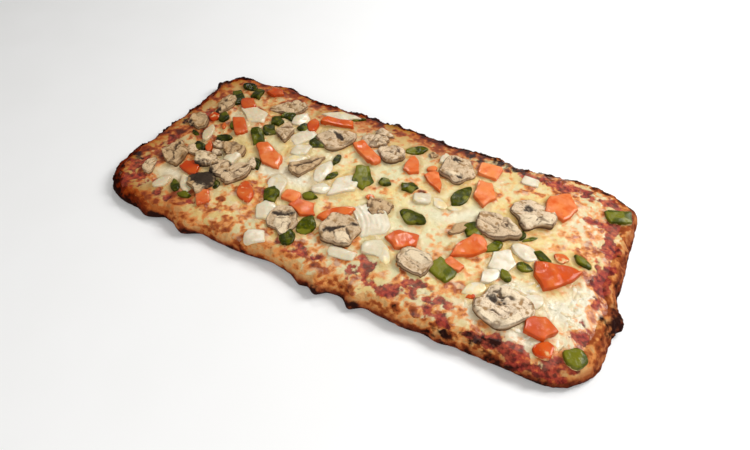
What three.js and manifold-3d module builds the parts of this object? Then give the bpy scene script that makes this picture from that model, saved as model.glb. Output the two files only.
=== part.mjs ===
// A vegetable flatbread: a long thin-crust pizza with rounded corners, baked with tomato sauce, melted
// cheese, sliced mushrooms and diced tomato, green pepper and onion.
// Millimetres, +Z up. X runs along the bread and Y across it, towards its far side. The origin is on the
// flat underside, below the middle of the bread.
import * as THREE from "three";
import Module from "manifold-3d";

const wasm = await Module();
wasm.setup();

// The bread's driving sizes.
const LENGTH = 340;
const WIDTH = 160;
const CORNER_RADII = { nearRight: 31, farRight: 17, farLeft: 15, nearLeft: 31 };
const RIM_HEIGHT = 10.4;
const RIM_WIDTH = 13;
const BED_HEIGHT = 8;
const EDGE_STEPS = 116;

// The crust's section from the underside, over the rim and down to the bed: how far inside the outline
// each point lies, its height, and how much of the crags' relief it takes.
const CRUST_SECTION = [
  [3, 0, 0],
  [0.4, 1.6, 0.4],
  [0, 3.4, 0.8],
  [1, 6.2, 1],
  [3.4, 8.8, 1],
  [7.6, RIM_HEIGHT, 0.8],
  [RIM_WIDTH, BED_HEIGHT, 0],
];

// The cheese: how high it stands over the table, how thick it is at its edge, and how far inside the
// bread's edge its rings of points lie.
const CHEESE_HEIGHT = 10.9;
const CHEESE_EDGE = 0.7;
const CHEESE_RINGS = [18, 36, 54, 70];

// Pieces that lie against each other keep this gap, or a larger one where their facets cross each other.
const GAP = 0.3;
const FACET_GAP = 0.6;

// The toppings were laid out from a point a little to the right of the bread's middle and nearer.
const LAYOUT_X = 4;
const LAYOUT_Y = -6;

// Each kind of topping: how far it stands over the cheese, and its colour.
const KINDS = {
  onion: { height: 2, color: 0xdcd8c0, roughness: 0.35 },
  pepper: { height: 2.8, color: 0x56700f, roughness: 0.3 },
  tomato: { height: 3.2, color: 0xdc5a2a, roughness: 0.3 },
  mushroom: { height: 3.4, color: 0xcdb793, roughness: 0.75 },
};

// The toppings lie a little askew: this is the steepest slope of a top.
const TILT = 0.05;

// Toppings too small to be lifted off have this many sides, and are this deep in the cheese.
const SMALL_SIDES = 8;
const SMALL_DEPTH = 1.8;

// Where the baked edge swells out, or draws in: x, y of the place, how far out, and over what length.
const EDGE_SWELLS = [
  [-116, 81, 4.6, 13],
  [-80, 81, -2.6, 9],
  [-14, 81, 2.2, 4],
  [32, 81, -3, 9],
  [85, 81, -2.6, 9],
  [131, 81, 3.8, 20],
  [-120, -80, 3, 8],
  [-109, -80, -1.5, 5],
  [-90, -80, 4.4, 7],
  [-77, -80, -1.2, 6],
  [-26, -80, -2.2, 14],
  [-1, -80, 3.6, 6],
  [10, -80, 5.8, 5],
  [32.5, -80, 5, 4.5],
  [60, -80, 2, 18],
  [87, -80, 2, 6],
  [169, -24, 5, 8],
  [169, -7, -1.6, 5],
  [-170, 20, -1.4, 28],
  [-170, -24, -1.6, 8],
  [-170, -36, 1.6, 7],
  [-169, 62, 4.2, 4.5],
  [158, 76, -2.4, 5],
];

// Toppings as large as a berry, each a separate piece, from the lowest to those that lie on others.
// Each row: form, x, y, length, width, turn in degrees, and how much higher than its kind it stands.
const ONIONS = [
  ["chip", -119, 39, 27, 17, -25, 0],
  ["kite", -60, 69, 33, 13, 15, 0],
  ["block", -72, 33, 20, 13, 60, 0],
  ["petal", -39, 7, 25, 11, 95, 0],
  ["kite", -19, 3, 32, 18, 70, 0],
  ["petal", -59, -20, 22, 13, -60, 0],
  ["block", 12, -19, 27, 21, -50, 0],
  ["chip", 25, -39, 18, 14, 20, 0],
  ["chip", 97, -12, 19, 16, 80, 0],
];
const PEPPERS = [
  ["block", -144, 52, 20, 9, -45, 0],
  ["block", -101, 17, 18, 9, -47, 0],
  ["block", -60, 35, 16, 12, -60, 0],
  ["chip", -12, 15, 25, 15, -62, 0],
  ["petal", 55, 29, 24, 11, 80, 0],
  ["chip", -57, -29, 18, 12, 110, 0],
  ["torn", 34, -4, 19, 12, -10, 0],
  ["block", 67, -35, 17, 13, -25, 0],
  ["chip", 73, 5, 15, 13, 40, 0],
  ["block", 153, 61, 17, 11, 20, 0],
  ["petal", -22, -42, 17, 12, 95, 0],
];
const TOMATOES = [
  ["chip", -81, 3, 33, 15, -33, 0],
  ["block", -57, 60, 25, 8, 15, 0.6],
  ["block", -22, 40, 29, 10, -32, 0],
  ["wedge", 13, 43, 22, 13, 105, 0],
  ["wedge", 34, 34, 23, 12, -50, 0],
  ["block", 64, 63, 16, 14, 0, 0],
  ["chip", 68, 39, 24, 15, -75, 0.6],
  ["chip", 117, 50, 26, 21, 80, 0.5],
  ["chip", -32, -30, 19, 13, -10, 0],
  ["chip", 37, -25, 21, 16, 195, 0],
  ["wedge", 75, -12, 28, 17, 235, 0.5],
  ["wedge", 129, -8, 30, 22, 30, 1],
  ["chip", 129, -48, 18, 16, 10, 0.8],
  ["wedge", -120, -34, 17, 15, -30, 0],
  ["block", -120, 21, 20, 10, -47, 0],
  ["petal", -10, -25, 25, 10, 42, 0],
];
const MUSHROOMS = [
  ["torn", -147, 40, 25, 12, -78, 0],
  ["slice", -151, 11, 20, 15, -38, 0.4],
  ["torn", -141, -26, 26, 17, -60, 0.4],
  ["slice", -105, -42, 19, 23, 25, 0],
  ["torn", -118, -22, 17, 14, -15, 0.8],
  ["torn", -102, -26, 18, 14, -25, 1.4],
  ["torn", -89, -24, 26, 15, 80, 0.6],
  ["torn", -106, -4, 18, 14, -10, 0.6],
  ["torn", -100, 59, 30, 16, 33, 0],
  ["torn", -86, 31, 22, 13, -65, 0.4],
  ["cap", -50, 45, 30, 30, 212, 0.4],
  ["torn", -23, 54, 21, 14, 10, 0],
  ["torn", -5, 46, 22, 18, -10, 0.8],
  ["wedge", -52, 7, 30, 16, 62, 0.4],
  ["slice", 43, 53, 25, 31, 20, 0.4],
  ["wedge", 12, -6, 19, 19, 30, 0.4],
  ["slice", -37, -46, 19, 26, 32, 0.4],
  ["slice", -1, -37, 26, 27, 42, 1.2],
  ["block", 51, -38, 21, 17, -5, 1],
  ["torn", 85, 13, 28, 22, -12, 1],
  ["slice", 103, 34, 31, 27, -8, 0.4],
  ["slice", 107, -44, 34, 29, 205, 0.8],
];

// Toppings too small to be lifted off: they are part of the cheese that they are baked into.
const SMALL_ONIONS = [
  ["chip", -84, 50, 17, 14, 90],
  ["chip", -52, -43, 20, 14, 110],
  ["kite", -65, 20, 20, 14, 60],
  ["petal", -136, 4, 20, 8, -70],
  ["petal", -129, -54, 14, 9, 75],
  ["petal", -113, -48, 18, 8, -45],
  ["block", -45, -69, 13, 10, 30],
  ["block", 9, -52, 18, 8, 5],
  ["wedge", 31, 62, 15, 10, 110],
  ["petal", 94, -26, 15, 9, 65],
  ["petal", 121, -33, 15, 10, 40],
  ["block", 33, 15, 12, 10, 20],
  ["block", 92, 66, 12, 9, 0],
  ["chip", -31, -9, 14, 11, 40],
];
const SMALL_PEPPERS = [
  ["petal", -27, -56, 14, 10, 110],
  ["petal", -145, 69, 14, 9, 0],
  ["block", -134, 64, 13, 8, 100],
  ["petal", -138, 25, 12, 8, -60],
  ["chip", -122, 4, 12, 9, 30],
  ["chip", -99, 40, 13, 10, -45],
  ["block", -95, 50, 11, 9, 0],
  ["petal", -131, -12, 11, 8, -30],
  ["petal", -118, -53, 13, 6, -45],
  ["petal", -107, -57, 10, 5, 15],
  ["petal", -31, 6, 12, 5, 75],
  ["petal", -37, 23, 12, 5, 95],
  ["petal", 9, 59, 17, 9, 40],
  ["chip", 4, 17, 9, 8, 0],
  ["chip", 21, 20, 12, 10, 20],
  ["petal", -34, -19, 11, 7, 10],
  ["block", 118, 2, 13, 6, -35],
  ["petal", 110, -11, 10, 7, 0],
  ["petal", 102, -22, 10, 6, -50],
  ["petal", 140, 10, 13, 6, -30],
  ["torn", 151, -57, 13, 12, 0],
  ["petal", 101, 14, 8, 6, 90],
  ["block", -77, 43, 10, 8, 90],
];
const SMALL_TOMATOES = [
  ["chip", -122, 72, 14, 12, 0],
  ["block", -129, 45, 14, 11, -45],
  ["petal", -72, 48, 17, 9, -70],
  ["petal", -124, -10, 12, 5, -60],
  ["block", -95, -53, 13, 9, -50],
  ["petal", -73, -36, 22, 11, -48],
  ["block", -44, -25, 12, 10, 0],
  ["block", 72, -28, 12, 7, -20],
  ["torn", 135, -60, 12, 10, 50],
  ["torn", 128, 7, 9, 8, 0],
];
const SMALL_MUSHROOMS = [
  ["torn", -120, -4, 10, 9, 0],
  ["torn", -148, -45, 17, 9, -60],
  ["torn", -133, -17, 13, 8, -35],
  ["petal", 64, 1, 17, 7, 62],
  ["torn", -20, 65, 15, 9, 0],
];

// The cheese's slow swells and the crust's crags as crossing waves: wave length, height, heading, phase.
const CHEESE_SWELLS = [
  [97, 0.35, 20, 0.4],
  [71, 0.3, 115, 2.1],
  [53, 0.2, 65, 4.4],
];
const CRUST_SWELLS = [
  [37, 0.45, 8, 0.9],
  [19, 0.4, 75, 3.1],
  [13, 0.3, -40, 5.2],
];

const radians = THREE.MathUtils.degToRad;

// The height of some crossing waves at a point.
function swell(waves, x, y) {
  let height = 0;
  for (const [length, size, heading, phase] of waves) {
    const along = x * Math.cos(radians(heading)) + y * Math.sin(radians(heading));
    height += size * Math.sin((along * 2 * Math.PI) / length + phase);
  }
  return height;
}

// The bread's plain outline: a rectangle with a round corner of its own radius at each end of each side.
function plainOutline() {
  const right = LENGTH / 2;
  const far = WIDTH / 2;
  const { nearRight, farRight, farLeft, nearLeft } = CORNER_RADII;
  const shape = new THREE.Shape();
  shape.moveTo(-right + nearLeft, -far);
  shape.lineTo(right - nearRight, -far);
  shape.absarc(right - nearRight, -far + nearRight, nearRight, -Math.PI / 2, 0, false);
  shape.lineTo(right, far - farRight);
  shape.absarc(right - farRight, far - farRight, farRight, 0, Math.PI / 2, false);
  shape.lineTo(-right + farLeft, far);
  shape.absarc(-right + farLeft, far - farLeft, farLeft, Math.PI / 2, Math.PI, false);
  shape.lineTo(-right, -far + nearLeft);
  shape.absarc(-right + nearLeft, -far + nearLeft, nearLeft, Math.PI, 1.5 * Math.PI, false);
  return shape.getSpacedPoints(EDGE_STEPS).slice(0, EDGE_STEPS);
}

// The real, uneven outline: each point of the plain one goes out or in by the swells near it.
function breadOutline() {
  const plain = plainOutline();
  return plain.map((point, i) => {
    const before = plain.at(i - 1);
    const after = plain[(i + 1) % plain.length];
    const outward = new THREE.Vector2(after.y - before.y, before.x - after.x).normalize();
    let reach = 0;
    for (const [x, y, out, length] of EDGE_SWELLS) {
      const distance = Math.hypot(point.x - x, point.y - y);
      reach += out * Math.exp(-((distance / length) ** 2));
    }
    return point.clone().addScaledVector(outward, reach);
  });
}

// The triangles that fill a ring, seen from above: rungs across it, from its leftmost point rightwards.
function ladder(ring) {
  const count = ring.length;
  const start = ring.reduce((best, p, i) => (p.x < ring[best].x ? i : best), 0);
  const near = (step) => (start + step) % count;
  const far = (step) => (start - step + count) % count;
  const triangles = [];
  for (let step = 0; step < count / 2; step++) {
    triangles.push([near(step), near(step + 1), far(step + 1)]);
    triangles.push([near(step), far(step + 1), far(step)]);
  }
  return triangles.filter(([a, b, c]) => a !== b && b !== c && c !== a);
}

// A closed solid through rings of equal numbers of points, from its lowest ring to its highest. Each
// ring runs anticlockwise seen from above, and the first and last are filled.
function loft(rings) {
  const count = rings[0].length;
  const positions = rings.flat().flatMap((p) => [p.x, p.y, p.z]);
  const index = [];
  for (let ring = 0; ring + 1 < rings.length; ring++) {
    for (let i = 0; i < count; i++) {
      const a = ring * count + i;
      const b = ring * count + ((i + 1) % count);
      index.push(a, b, b + count, a, b + count, a + count);
    }
  }
  const top = (rings.length - 1) * count;
  for (const [a, b, c] of ladder(rings[0])) {
    index.push(a, c, b);
  }
  for (const [a, b, c] of ladder(rings.at(-1))) {
    index.push(top + a, top + b, top + c);
  }
  const geometry = new THREE.BufferGeometry();
  geometry.setAttribute("position", new THREE.Float32BufferAttribute(positions, 3));
  geometry.setIndex(index);
  return geometry;
}

function toSolid(geometry) {
  const vertProperties = geometry.getAttribute("position").array;
  const triVerts = new Uint32Array(geometry.getIndex().array);
  return new wasm.Manifold(new wasm.Mesh({ numProp: 3, vertProperties, triVerts }));
}

// The largest body of a solid, without the scraps that a cut leaves.
function largestBody(solid) {
  const bodies = solid.decompose();
  return bodies.reduce((best, body) => (body.volume() > best.volume() ? body : best));
}

function toGeometry(solid) {
  const { vertProperties, triVerts } = solid.getMesh();
  const geometry = new THREE.BufferGeometry();
  geometry.setAttribute("position", new THREE.BufferAttribute(vertProperties, 3));
  geometry.setIndex(new THREE.BufferAttribute(triVerts, 1));
  geometry.computeVertexNormals();
  return geometry;
}

const outline = breadOutline();

// A ring inside the bread's outline: each point moved in towards the bread's middle line.
function insetRing(inset, height) {
  const middleReach = (LENGTH - WIDTH) / 2;
  return outline.map((point) => {
    const middle = new THREE.Vector2(THREE.MathUtils.clamp(point.x, -middleReach, middleReach), 0);
    const p = point.clone().lerp(middle, inset / (WIDTH / 2));
    return new THREE.Vector3(p.x, p.y, height(p.x, p.y));
  });
}

const raise = (ring, lift) => ring.map((p) => new THREE.Vector3(p.x, p.y, p.z + lift));

// The crust: a flat base, a thin rounded rim with crags, and a level bed inside it.
const crustRings = CRUST_SECTION.map(([inset, height, crag]) =>
  insetRing(inset, (x, y) => height + crag * swell(CRUST_SWELLS, x, y)),
);
const crustGeometry = loft(crustRings);

const cheeseTop = (x, y) => CHEESE_HEIGHT + swell(CHEESE_SWELLS, x, y);

// The melted cheese: it lies on the bed and runs up the rim's inner slope, further in some places.
function cheeseGeometry() {
  const [rimSlope, rimFoot] = crustRings.slice(-2);
  const edge = rimSlope.map((p, i) => {
    const share = THREE.MathUtils.clamp(0.42 + 0.3 * swell(CRUST_SWELLS, p.y, p.x), 0.15, 0.8);
    return p.clone().lerp(rimFoot[i], share);
  });
  const crown = CHEESE_RINGS.map((inset) => insetRing(inset, cheeseTop));
  return loft([raise(rimFoot, GAP), raise(edge, FACET_GAP), raise(edge, FACET_GAP + CHEESE_EDGE), ...crown]);
}

// How far out an outline between a circle and an even polygon lies, at an angle from one of its corners.
function cornered(angle, corners, sharpness = 0.85) {
  const side = (2 * Math.PI) / corners;
  const fromMiddle = THREE.MathUtils.euclideanModulo(angle, side) - side / 2;
  const straight = Math.cos(side / 2) / Math.cos(fromMiddle);
  return THREE.MathUtils.lerp(1, straight, sharpness);
}

const { smoothstep } = THREE.MathUtils;

// The forms of the toppings: the number of sides, and the outline as a point at a given angle, about
// one unit from its middle.
const FORMS = {
  petal: { sides: 10, outline: (cos, sin) => [cos, sin * Math.abs(sin) ** 0.35] },
  block: {
    sides: 8,
    outline: (cos, sin) => [Math.sign(cos) * Math.abs(cos) ** 0.4, Math.sign(sin) * Math.abs(sin) ** 0.4],
  },
  chip: {
    sides: 10,
    outline: (cos, sin, angle) => [cos * cornered(angle, 5) * 1.08, sin * cornered(angle, 5) * 1.05],
  },
  kite: { sides: 8, outline: (cos, sin, angle) => [cos * cornered(angle, 4), sin * cornered(angle, 4)] },
  wedge: {
    sides: 9,
    outline: (cos, sin, angle) => [
      (cos * cornered(angle, 3, 0.6) - 0.13) * 1.12,
      sin * cornered(angle, 3, 0.6) * 1.05,
    ],
  },
  torn: { sides: 12, outline: (cos, sin) => [cos * (1 + 0.12 * sin), sin * (1 - 0.18 * cos * cos)] },
  cap: { sides: 12, outline: (cos, sin) => [cos, sin > 0 ? sin : sin * 0.4] },
  slice: { sides: 12, outline: (cos, sin) => [cos * (1 - 0.42 * smoothstep(-sin, 0.25, 0.7)), sin] },
};

// The rings of a topping from its foot up: its size there, and its height as a share of the whole.
const LARGE_RINGS = [
  [0.95, 0],
  [1, 0.4],
  [0.97, 0.86],
  [0.84, 1],
];
const SMALL_RINGS = [
  [1.03, 0],
  [0.84, 1],
];

// A topping: a low slab of the given form, its outline a little uneven and its top a little askew. Its
// foot follows the cheese at the given distance over it, and the whole can be grown to the space that it
// takes up.
function toppingGeometry(row, { height, rings, over, sides, grow = 0 }) {
  const [form, layoutX, layoutY, length, width, turn, extra = 0] = row;
  const x = layoutX + LAYOUT_X;
  const y = layoutY + LAYOUT_Y;
  const crown = cheeseTop(x, y) + height + extra + grow;
  const count = sides ?? FORMS[form].sides;
  const unevenness = (angle) => 1 + 0.05 * Math.sin(3 * angle + x) + 0.035 * Math.sin(5 * angle + y);
  const ring = ([scale, share]) =>
    Array.from({ length: count }, (_, i) => {
      const angle = (i * 2 * Math.PI) / count;
      const [u, v] = FORMS[form].outline(Math.cos(angle), Math.sin(angle), angle);
      const reach = scale * unevenness(angle);
      const point = new THREE.Vector2(u * (length / 2) * reach, v * (width / 2) * reach);
      const askew = TILT * (point.x * Math.sin(x + 1) + point.y * Math.sin(y + 2));
      point.setLength(point.length() + grow);
      point.rotateAround(new THREE.Vector2(), radians(turn));
      point.add(new THREE.Vector2(x, y));
      const foot = cheeseTop(point.x, point.y) + over - grow;
      return new THREE.Vector3(point.x, point.y, THREE.MathUtils.lerp(foot, crown + askew, share));
    });
  return loft(rings.map(ring));
}

const bread = new THREE.Group();

function addPiece(name, solid, color, roughness) {
  const material = new THREE.MeshStandardMaterial({ color, roughness, metalness: 0 });
  const mesh = new THREE.Mesh(toGeometry(solid), material);
  mesh.name = name;
  bread.add(mesh);
}

// The small toppings are joined into the cheese, clear of the crust. The space taken by what is in place
// already, with the gap round it, grows with each piece.
const crustSpace = toSolid(crustGeometry.clone().translate(0, 0, GAP));
let taken = crustSpace.add(toSolid(cheeseGeometry().translate(0, 0, GAP)));
let cheese = toSolid(cheeseGeometry());
const smallToppings = {
  onion: SMALL_ONIONS,
  pepper: SMALL_PEPPERS,
  tomato: SMALL_TOMATOES,
  mushroom: SMALL_MUSHROOMS,
};
for (const [kind, rows] of Object.entries(smallToppings)) {
  const shape = { height: KINDS[kind].height, sides: SMALL_SIDES, rings: SMALL_RINGS, over: -SMALL_DEPTH };
  for (const row of rows) {
    const piece = toSolid(toppingGeometry(row, shape));
    cheese = cheese.add(piece.intersect(crustSpace).isEmpty() ? piece : piece.subtract(crustSpace));
    taken = taken.add(toSolid(toppingGeometry(row, { ...shape, grow: GAP })));
  }
}

addPiece("crust", toSolid(crustGeometry), 0xb87338, 0.75);
addPiece("cheese", largestBody(cheese), 0xe9d5a0, 0.45);

// The large toppings, each cut only where it would run into what lies under or beside it.
const largeToppings = { onion: ONIONS, pepper: PEPPERS, tomato: TOMATOES, mushroom: MUSHROOMS };
for (const [kind, rows] of Object.entries(largeToppings)) {
  const { height, color, roughness } = KINDS[kind];
  const shape = { height, rings: LARGE_RINGS, over: FACET_GAP };
  rows.forEach((row, i) => {
    const whole = toSolid(toppingGeometry(row, shape));
    const piece = whole.intersect(taken).isEmpty() ? whole : largestBody(whole.subtract(taken));
    addPiece(`${kind}_${String(i + 1).padStart(2, "0")}`, piece, color, roughness);
    taken = taken.add(toSolid(toppingGeometry(row, { ...shape, grow: GAP })));
  });
}

// The origin goes below the middle of the bread, between its outermost points.
const centre = new THREE.Box3().setFromObject(bread).getCenter(new THREE.Vector3());
bread.position.set(-centre.x, -centre.y, 0);

export default bread;
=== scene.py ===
# %% [markdown]
# # A vegetable flatbread
#
# This lesson dresses the plain solids of a long, thin-crust pizza: a baked base with a low rim, a ragged
# layer of melted cheese that has browned along the margins, and loose pieces of mushroom, tomato, green
# pepper and onion. The solids are already at their true size and place. Each is replaced by a finer
# surface of the same form, worked out with numpy from the same sizes.

# %% Load the plain solids
import math

import bpy
import numpy as np
from mathutils import Matrix


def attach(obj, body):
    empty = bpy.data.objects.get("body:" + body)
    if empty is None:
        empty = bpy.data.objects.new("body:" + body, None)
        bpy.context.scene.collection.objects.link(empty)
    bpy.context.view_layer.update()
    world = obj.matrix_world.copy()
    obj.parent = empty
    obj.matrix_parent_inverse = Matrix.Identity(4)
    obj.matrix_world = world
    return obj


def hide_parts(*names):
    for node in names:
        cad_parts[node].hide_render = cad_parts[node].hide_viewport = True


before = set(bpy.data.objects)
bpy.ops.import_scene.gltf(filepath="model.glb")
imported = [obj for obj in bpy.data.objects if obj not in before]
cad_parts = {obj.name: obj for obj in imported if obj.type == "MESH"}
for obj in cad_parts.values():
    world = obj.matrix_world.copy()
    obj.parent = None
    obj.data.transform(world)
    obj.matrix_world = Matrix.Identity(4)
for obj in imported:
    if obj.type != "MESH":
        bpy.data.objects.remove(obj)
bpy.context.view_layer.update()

# %% [markdown]
# ## Noise, the baker's chance
#
# Nothing baked is even: cheese blisters, crust crags and mushrooms crack. Blender's texture nodes could
# bump the shading, but a bump doesn't show on an outline. So the unevenness is worked out here as numbers
# for whole arrays of points, and the same numbers later drive both the shape and the colour masks.

# %% Smooth steps and two kinds of noise
def ease(value, low, high):
    """0 at low and beyond it, 1 at high and beyond it, and 3t² - 2t³ between them."""
    t = np.clip((value - low) / (high - low), 0, 1)
    return t * t * (3 - 2 * t)


def chance(i, j, seed):
    """A number from 0 to 1 for each whole-number pair: what a large sine has after its point."""
    value = np.sin(i * 127.1 + j * 311.7 + seed * 74.7) * 43758.5453
    return value - np.floor(value)


def noise(x, y, size, seed):
    """Smooth noise from -1 to 1: chance values on a square lattice, blended by 6t⁵ - 15t⁴ + 10t³."""
    x, y = x / size, y / size
    i, j = np.floor(x), np.floor(y)
    u, v = ((f**3) * (f * (f * 6 - 15) + 10) for f in (x - i, y - j))
    near = chance(i, j, seed) * (1 - u) + chance(i + 1, j, seed) * u
    far = chance(i, j + 1, seed) * (1 - u) + chance(i + 1, j + 1, seed) * u
    return 2 * (near * (1 - v) + far * v) - 1


def rough(x, y, size, seed, layers=3):
    """Layered noise: each layer is half as large and 0.55 times as strong as the one before it."""
    total, strength, reach = 0.0, 1.0, 0.0
    for layer in range(layers):
        total = total + strength * noise(x, y, size / 2**layer, seed + layer)
        reach += strength
        strength *= 0.55
    return total / reach


def cells(x, y, size, seed):
    """The distance to the nearest of scattered dots, in dot spacings, and that dot's own number."""
    x, y = x / size, y / size
    i0, j0 = np.floor(x), np.floor(y)
    nearest = np.full(np.shape(x), np.inf)
    owner = np.zeros(np.shape(x))
    for i in (i0 - 1, i0, i0 + 1):
        for j in (j0 - 1, j0, j0 + 1):
            away = np.hypot(x - i - chance(i, j, seed), y - j - chance(i, j, seed + 19))
            owner = np.where(away < nearest, chance(i, j, seed + 7), owner)
            nearest = np.minimum(nearest, away)
    return nearest, owner


def turned(x, y, degrees):
    """How far a point lies along and across a heading: (x cos + y sin, y cos - x sin)."""
    cos, sin = math.cos(math.radians(degrees)), math.sin(math.radians(degrees))
    return x * cos + y * sin, y * cos - x * sin


print("noise at three points:", np.round(rough(np.array([0.0, 3.0, 9.0]), np.zeros(3), 5, 1), 3))

# %% [markdown]
# ## The bread's outline
#
# The base was rolled as a long rectangle with round corners, wider curves at the near end of each short
# side, and in the oven its edge swelled out in some places and drew in at others. A curve object could be
# drawn by eye, but the solids already follow a formula: a plain outline, pushed out or in by a bell-shaped
# swell at each named place. The same formula is walked here in finer steps, in millimetres.

# %% Sizes of the bread, in millimetres
LENGTH = 340
WIDTH = 160
CORNER_RADII = (31, 17, 15, 31)
RIM_HEIGHT = 10.4
RIM_WIDTH = 13
BED_HEIGHT = 8
CHEESE_HEIGHT = 10.9

# The middle of the bread's box, from the middle of its plain outline.
CENTRE_X = 0.538
CENTRE_Y = -0.725

# Where the baked edge swells out, or draws in: x, y of the place, how far out, and over what length.
EDGE_SWELLS = [
    (-116, 81, 4.6, 13),
    (-80, 81, -2.6, 9),
    (-14, 81, 2.2, 4),
    (32, 81, -3, 9),
    (85, 81, -2.6, 9),
    (131, 81, 3.8, 20),
    (-120, -80, 3, 8),
    (-109, -80, -1.5, 5),
    (-90, -80, 4.4, 7),
    (-77, -80, -1.2, 6),
    (-26, -80, -2.2, 14),
    (-1, -80, 3.6, 6),
    (10, -80, 5.8, 5),
    (32.5, -80, 5, 4.5),
    (60, -80, 2, 18),
    (87, -80, 2, 6),
    (169, -24, 5, 8),
    (169, -7, -1.6, 5),
    (-170, 20, -1.4, 28),
    (-170, -24, -1.6, 8),
    (-170, -36, 1.6, 7),
    (-169, 62, 4.2, 4.5),
    (158, 76, -2.4, 5),
]

# Slow swells as crossing waves: wave length, height, heading in degrees, phase.
CHEESE_SWELLS = [(97, 0.35, 20, 0.4), (71, 0.3, 115, 2.1), (53, 0.2, 65, 4.4)]
CRUST_SWELLS = [(37, 0.45, 8, 0.9), (19, 0.4, 75, 3.1), (13, 0.3, -40, 5.2)]


def swell(waves, x, y):
    """The sum of height * sin(2π * distance along the heading / wave length + phase)."""
    total = 0.0
    for length, height, heading, phase in waves:
        along, _ = turned(x, y, heading)
        total = total + height * np.sin(along * 2 * math.pi / length + phase)
    return total


def cheese_level(x, y):
    """The cheese's height without its lumps, which the toppings stand on."""
    return CHEESE_HEIGHT + swell(CHEESE_SWELLS, x, y)


# %% Walk the outline
# Even steps from the middle of one corner to the next, and the steps that first draw each round corner.
LONG_STEPS = 370
SHORT_STEPS = 172
CORNER_STEPS = 40


def quarter(corner):
    """One round corner of the plain outline: centre plus radius times (cos, sin) over 90 degrees."""
    side_x = (1, 1, -1, -1)[corner]
    side_y = (-1, 1, 1, -1)[corner]
    radius = CORNER_RADII[corner]
    angle = np.radians(np.linspace(-90, 0, CORNER_STEPS + 1) + 90 * corner)
    x = side_x * (LENGTH / 2 - radius) + radius * np.cos(angle)
    y = side_y * (WIDTH / 2 - radius) + radius * np.sin(angle)
    return np.column_stack([x, y])


def side_path(corner, steps):
    """From the middle of one round corner to the middle of the next, in even steps of length."""
    half = CORNER_STEPS // 2
    path = np.concatenate([quarter(corner)[half:], quarter((corner + 1) % 4)[: half + 1]])
    run = np.concatenate([[0], np.cumsum(np.hypot(*np.diff(path, axis=0).T))])
    along = np.linspace(0, run[-1], steps, endpoint=False)
    return np.column_stack([np.interp(along, run, path[:, k]) for k in (0, 1)])


def bread_outline():
    """Right, far, left and near side, each point pushed outwards by out * exp(-(distance / length)²)."""
    steps = (SHORT_STEPS, LONG_STEPS, SHORT_STEPS, LONG_STEPS)
    plain = np.concatenate([side_path(corner, steps[corner]) for corner in range(4)])
    along = np.roll(plain, -1, axis=0) - np.roll(plain, 1, axis=0)
    outward = np.column_stack([along[:, 1], -along[:, 0]]) / np.hypot(*along.T)[:, None]
    reach = np.zeros(len(plain))
    for x, y, out, length in EDGE_SWELLS:
        reach += out * np.exp(-(np.hypot(plain[:, 0] - x, plain[:, 1] - y) / length) ** 2)
    return plain + outward * reach[:, None]


outline = bread_outline()
print("outline:", len(outline), "points,", np.ptp(outline, axis=0).round(1), "mm")

# %% [markdown]
# ## Meshes from arrays
#
# Every surface below is rows of points. Rows that close on themselves are joined by four-sided faces, and
# their first and last rows are filled: by a fan round one point on a small piece, and by a ladder of rungs
# on the long bread. One function puts the arrays into a Blender mesh, with any masks as attributes that
# the materials read, and moves the piece into the shared frame.

# %% Faces, and a mesh from points
def band_faces(rows, columns, start=0):
    """The faces between closed rows of points, facing out if the rows go up anticlockwise."""
    row = start + np.arange(rows - 1)[:, None] * columns
    here = np.arange(columns)
    beside = (here + 1) % columns
    corners = [row + here, row + beside, row + columns + beside, row + columns + here]
    return np.stack(corners, axis=-1).reshape(-1, 4)


def fan_faces(ring, tip):
    """Triangles from each step of a ring of point numbers to one tip, facing up if it's anticlockwise."""
    return np.column_stack([ring, np.roll(ring, -1), np.full(len(ring), tip)])


def ladder_faces(ring, flip):
    """Triangles that fill a long ring by rungs from one of its long sides to the other."""
    count = len(ring)
    start = SHORT_STEPS + LONG_STEPS + SHORT_STEPS // 2
    step = np.arange(count // 2)
    near, near_next = ring[(start + step) % count], ring[(start + step + 1) % count]
    far, far_next = ring[(start - step) % count], ring[(start - step - 1) % count]
    faces = np.concatenate([
        np.column_stack([near, near_next, far_next]),
        np.column_stack([near, far_next, far]),
    ])
    same = (faces[:, 0] == faces[:, 1]) | (faces[:, 1] == faces[:, 2]) | (faces[:, 2] == faces[:, 0])
    faces = faces[~same]
    return faces[:, ::-1] if flip else faces


def make_piece(name, shape, material):
    """A smooth mesh object riding on the bread. Its shape is an array of points in millimetres, two of faces
    with four and three corners, and masks: each becomes an attribute of one number for each point."""
    points, quads, triangles, masks = shape
    mesh = bpy.data.meshes.new(name)
    place = (points - (CENTRE_X, CENTRE_Y, 0)) / 1000
    corners = np.concatenate([quads.ravel(), triangles.ravel()]).astype(np.int32)
    sizes = np.concatenate([np.full(len(quads), 4), np.full(len(triangles), 3)])
    starts = np.concatenate([[0], np.cumsum(sizes)[:-1]]).astype(np.int32)
    mesh.vertices.add(len(place))
    mesh.vertices.foreach_set("co", place.ravel())
    mesh.loops.add(len(corners))
    mesh.loops.foreach_set("vertex_index", corners)
    mesh.polygons.add(len(sizes))
    mesh.polygons.foreach_set("loop_start", starts)
    mesh.polygons.foreach_set("use_smooth", np.ones(len(sizes), bool))
    for label, values in masks.items():
        attribute = mesh.attributes.new(label, "FLOAT", "POINT")
        attribute.data.foreach_set("value", values.astype(np.float32).ravel())
    mesh.update(calc_edges=True)
    mesh.validate()
    mesh.materials.append(material)
    piece = bpy.data.objects.new(name, mesh)
    bpy.context.scene.collection.objects.link(piece)
    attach(piece, "root")
    return piece


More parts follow.
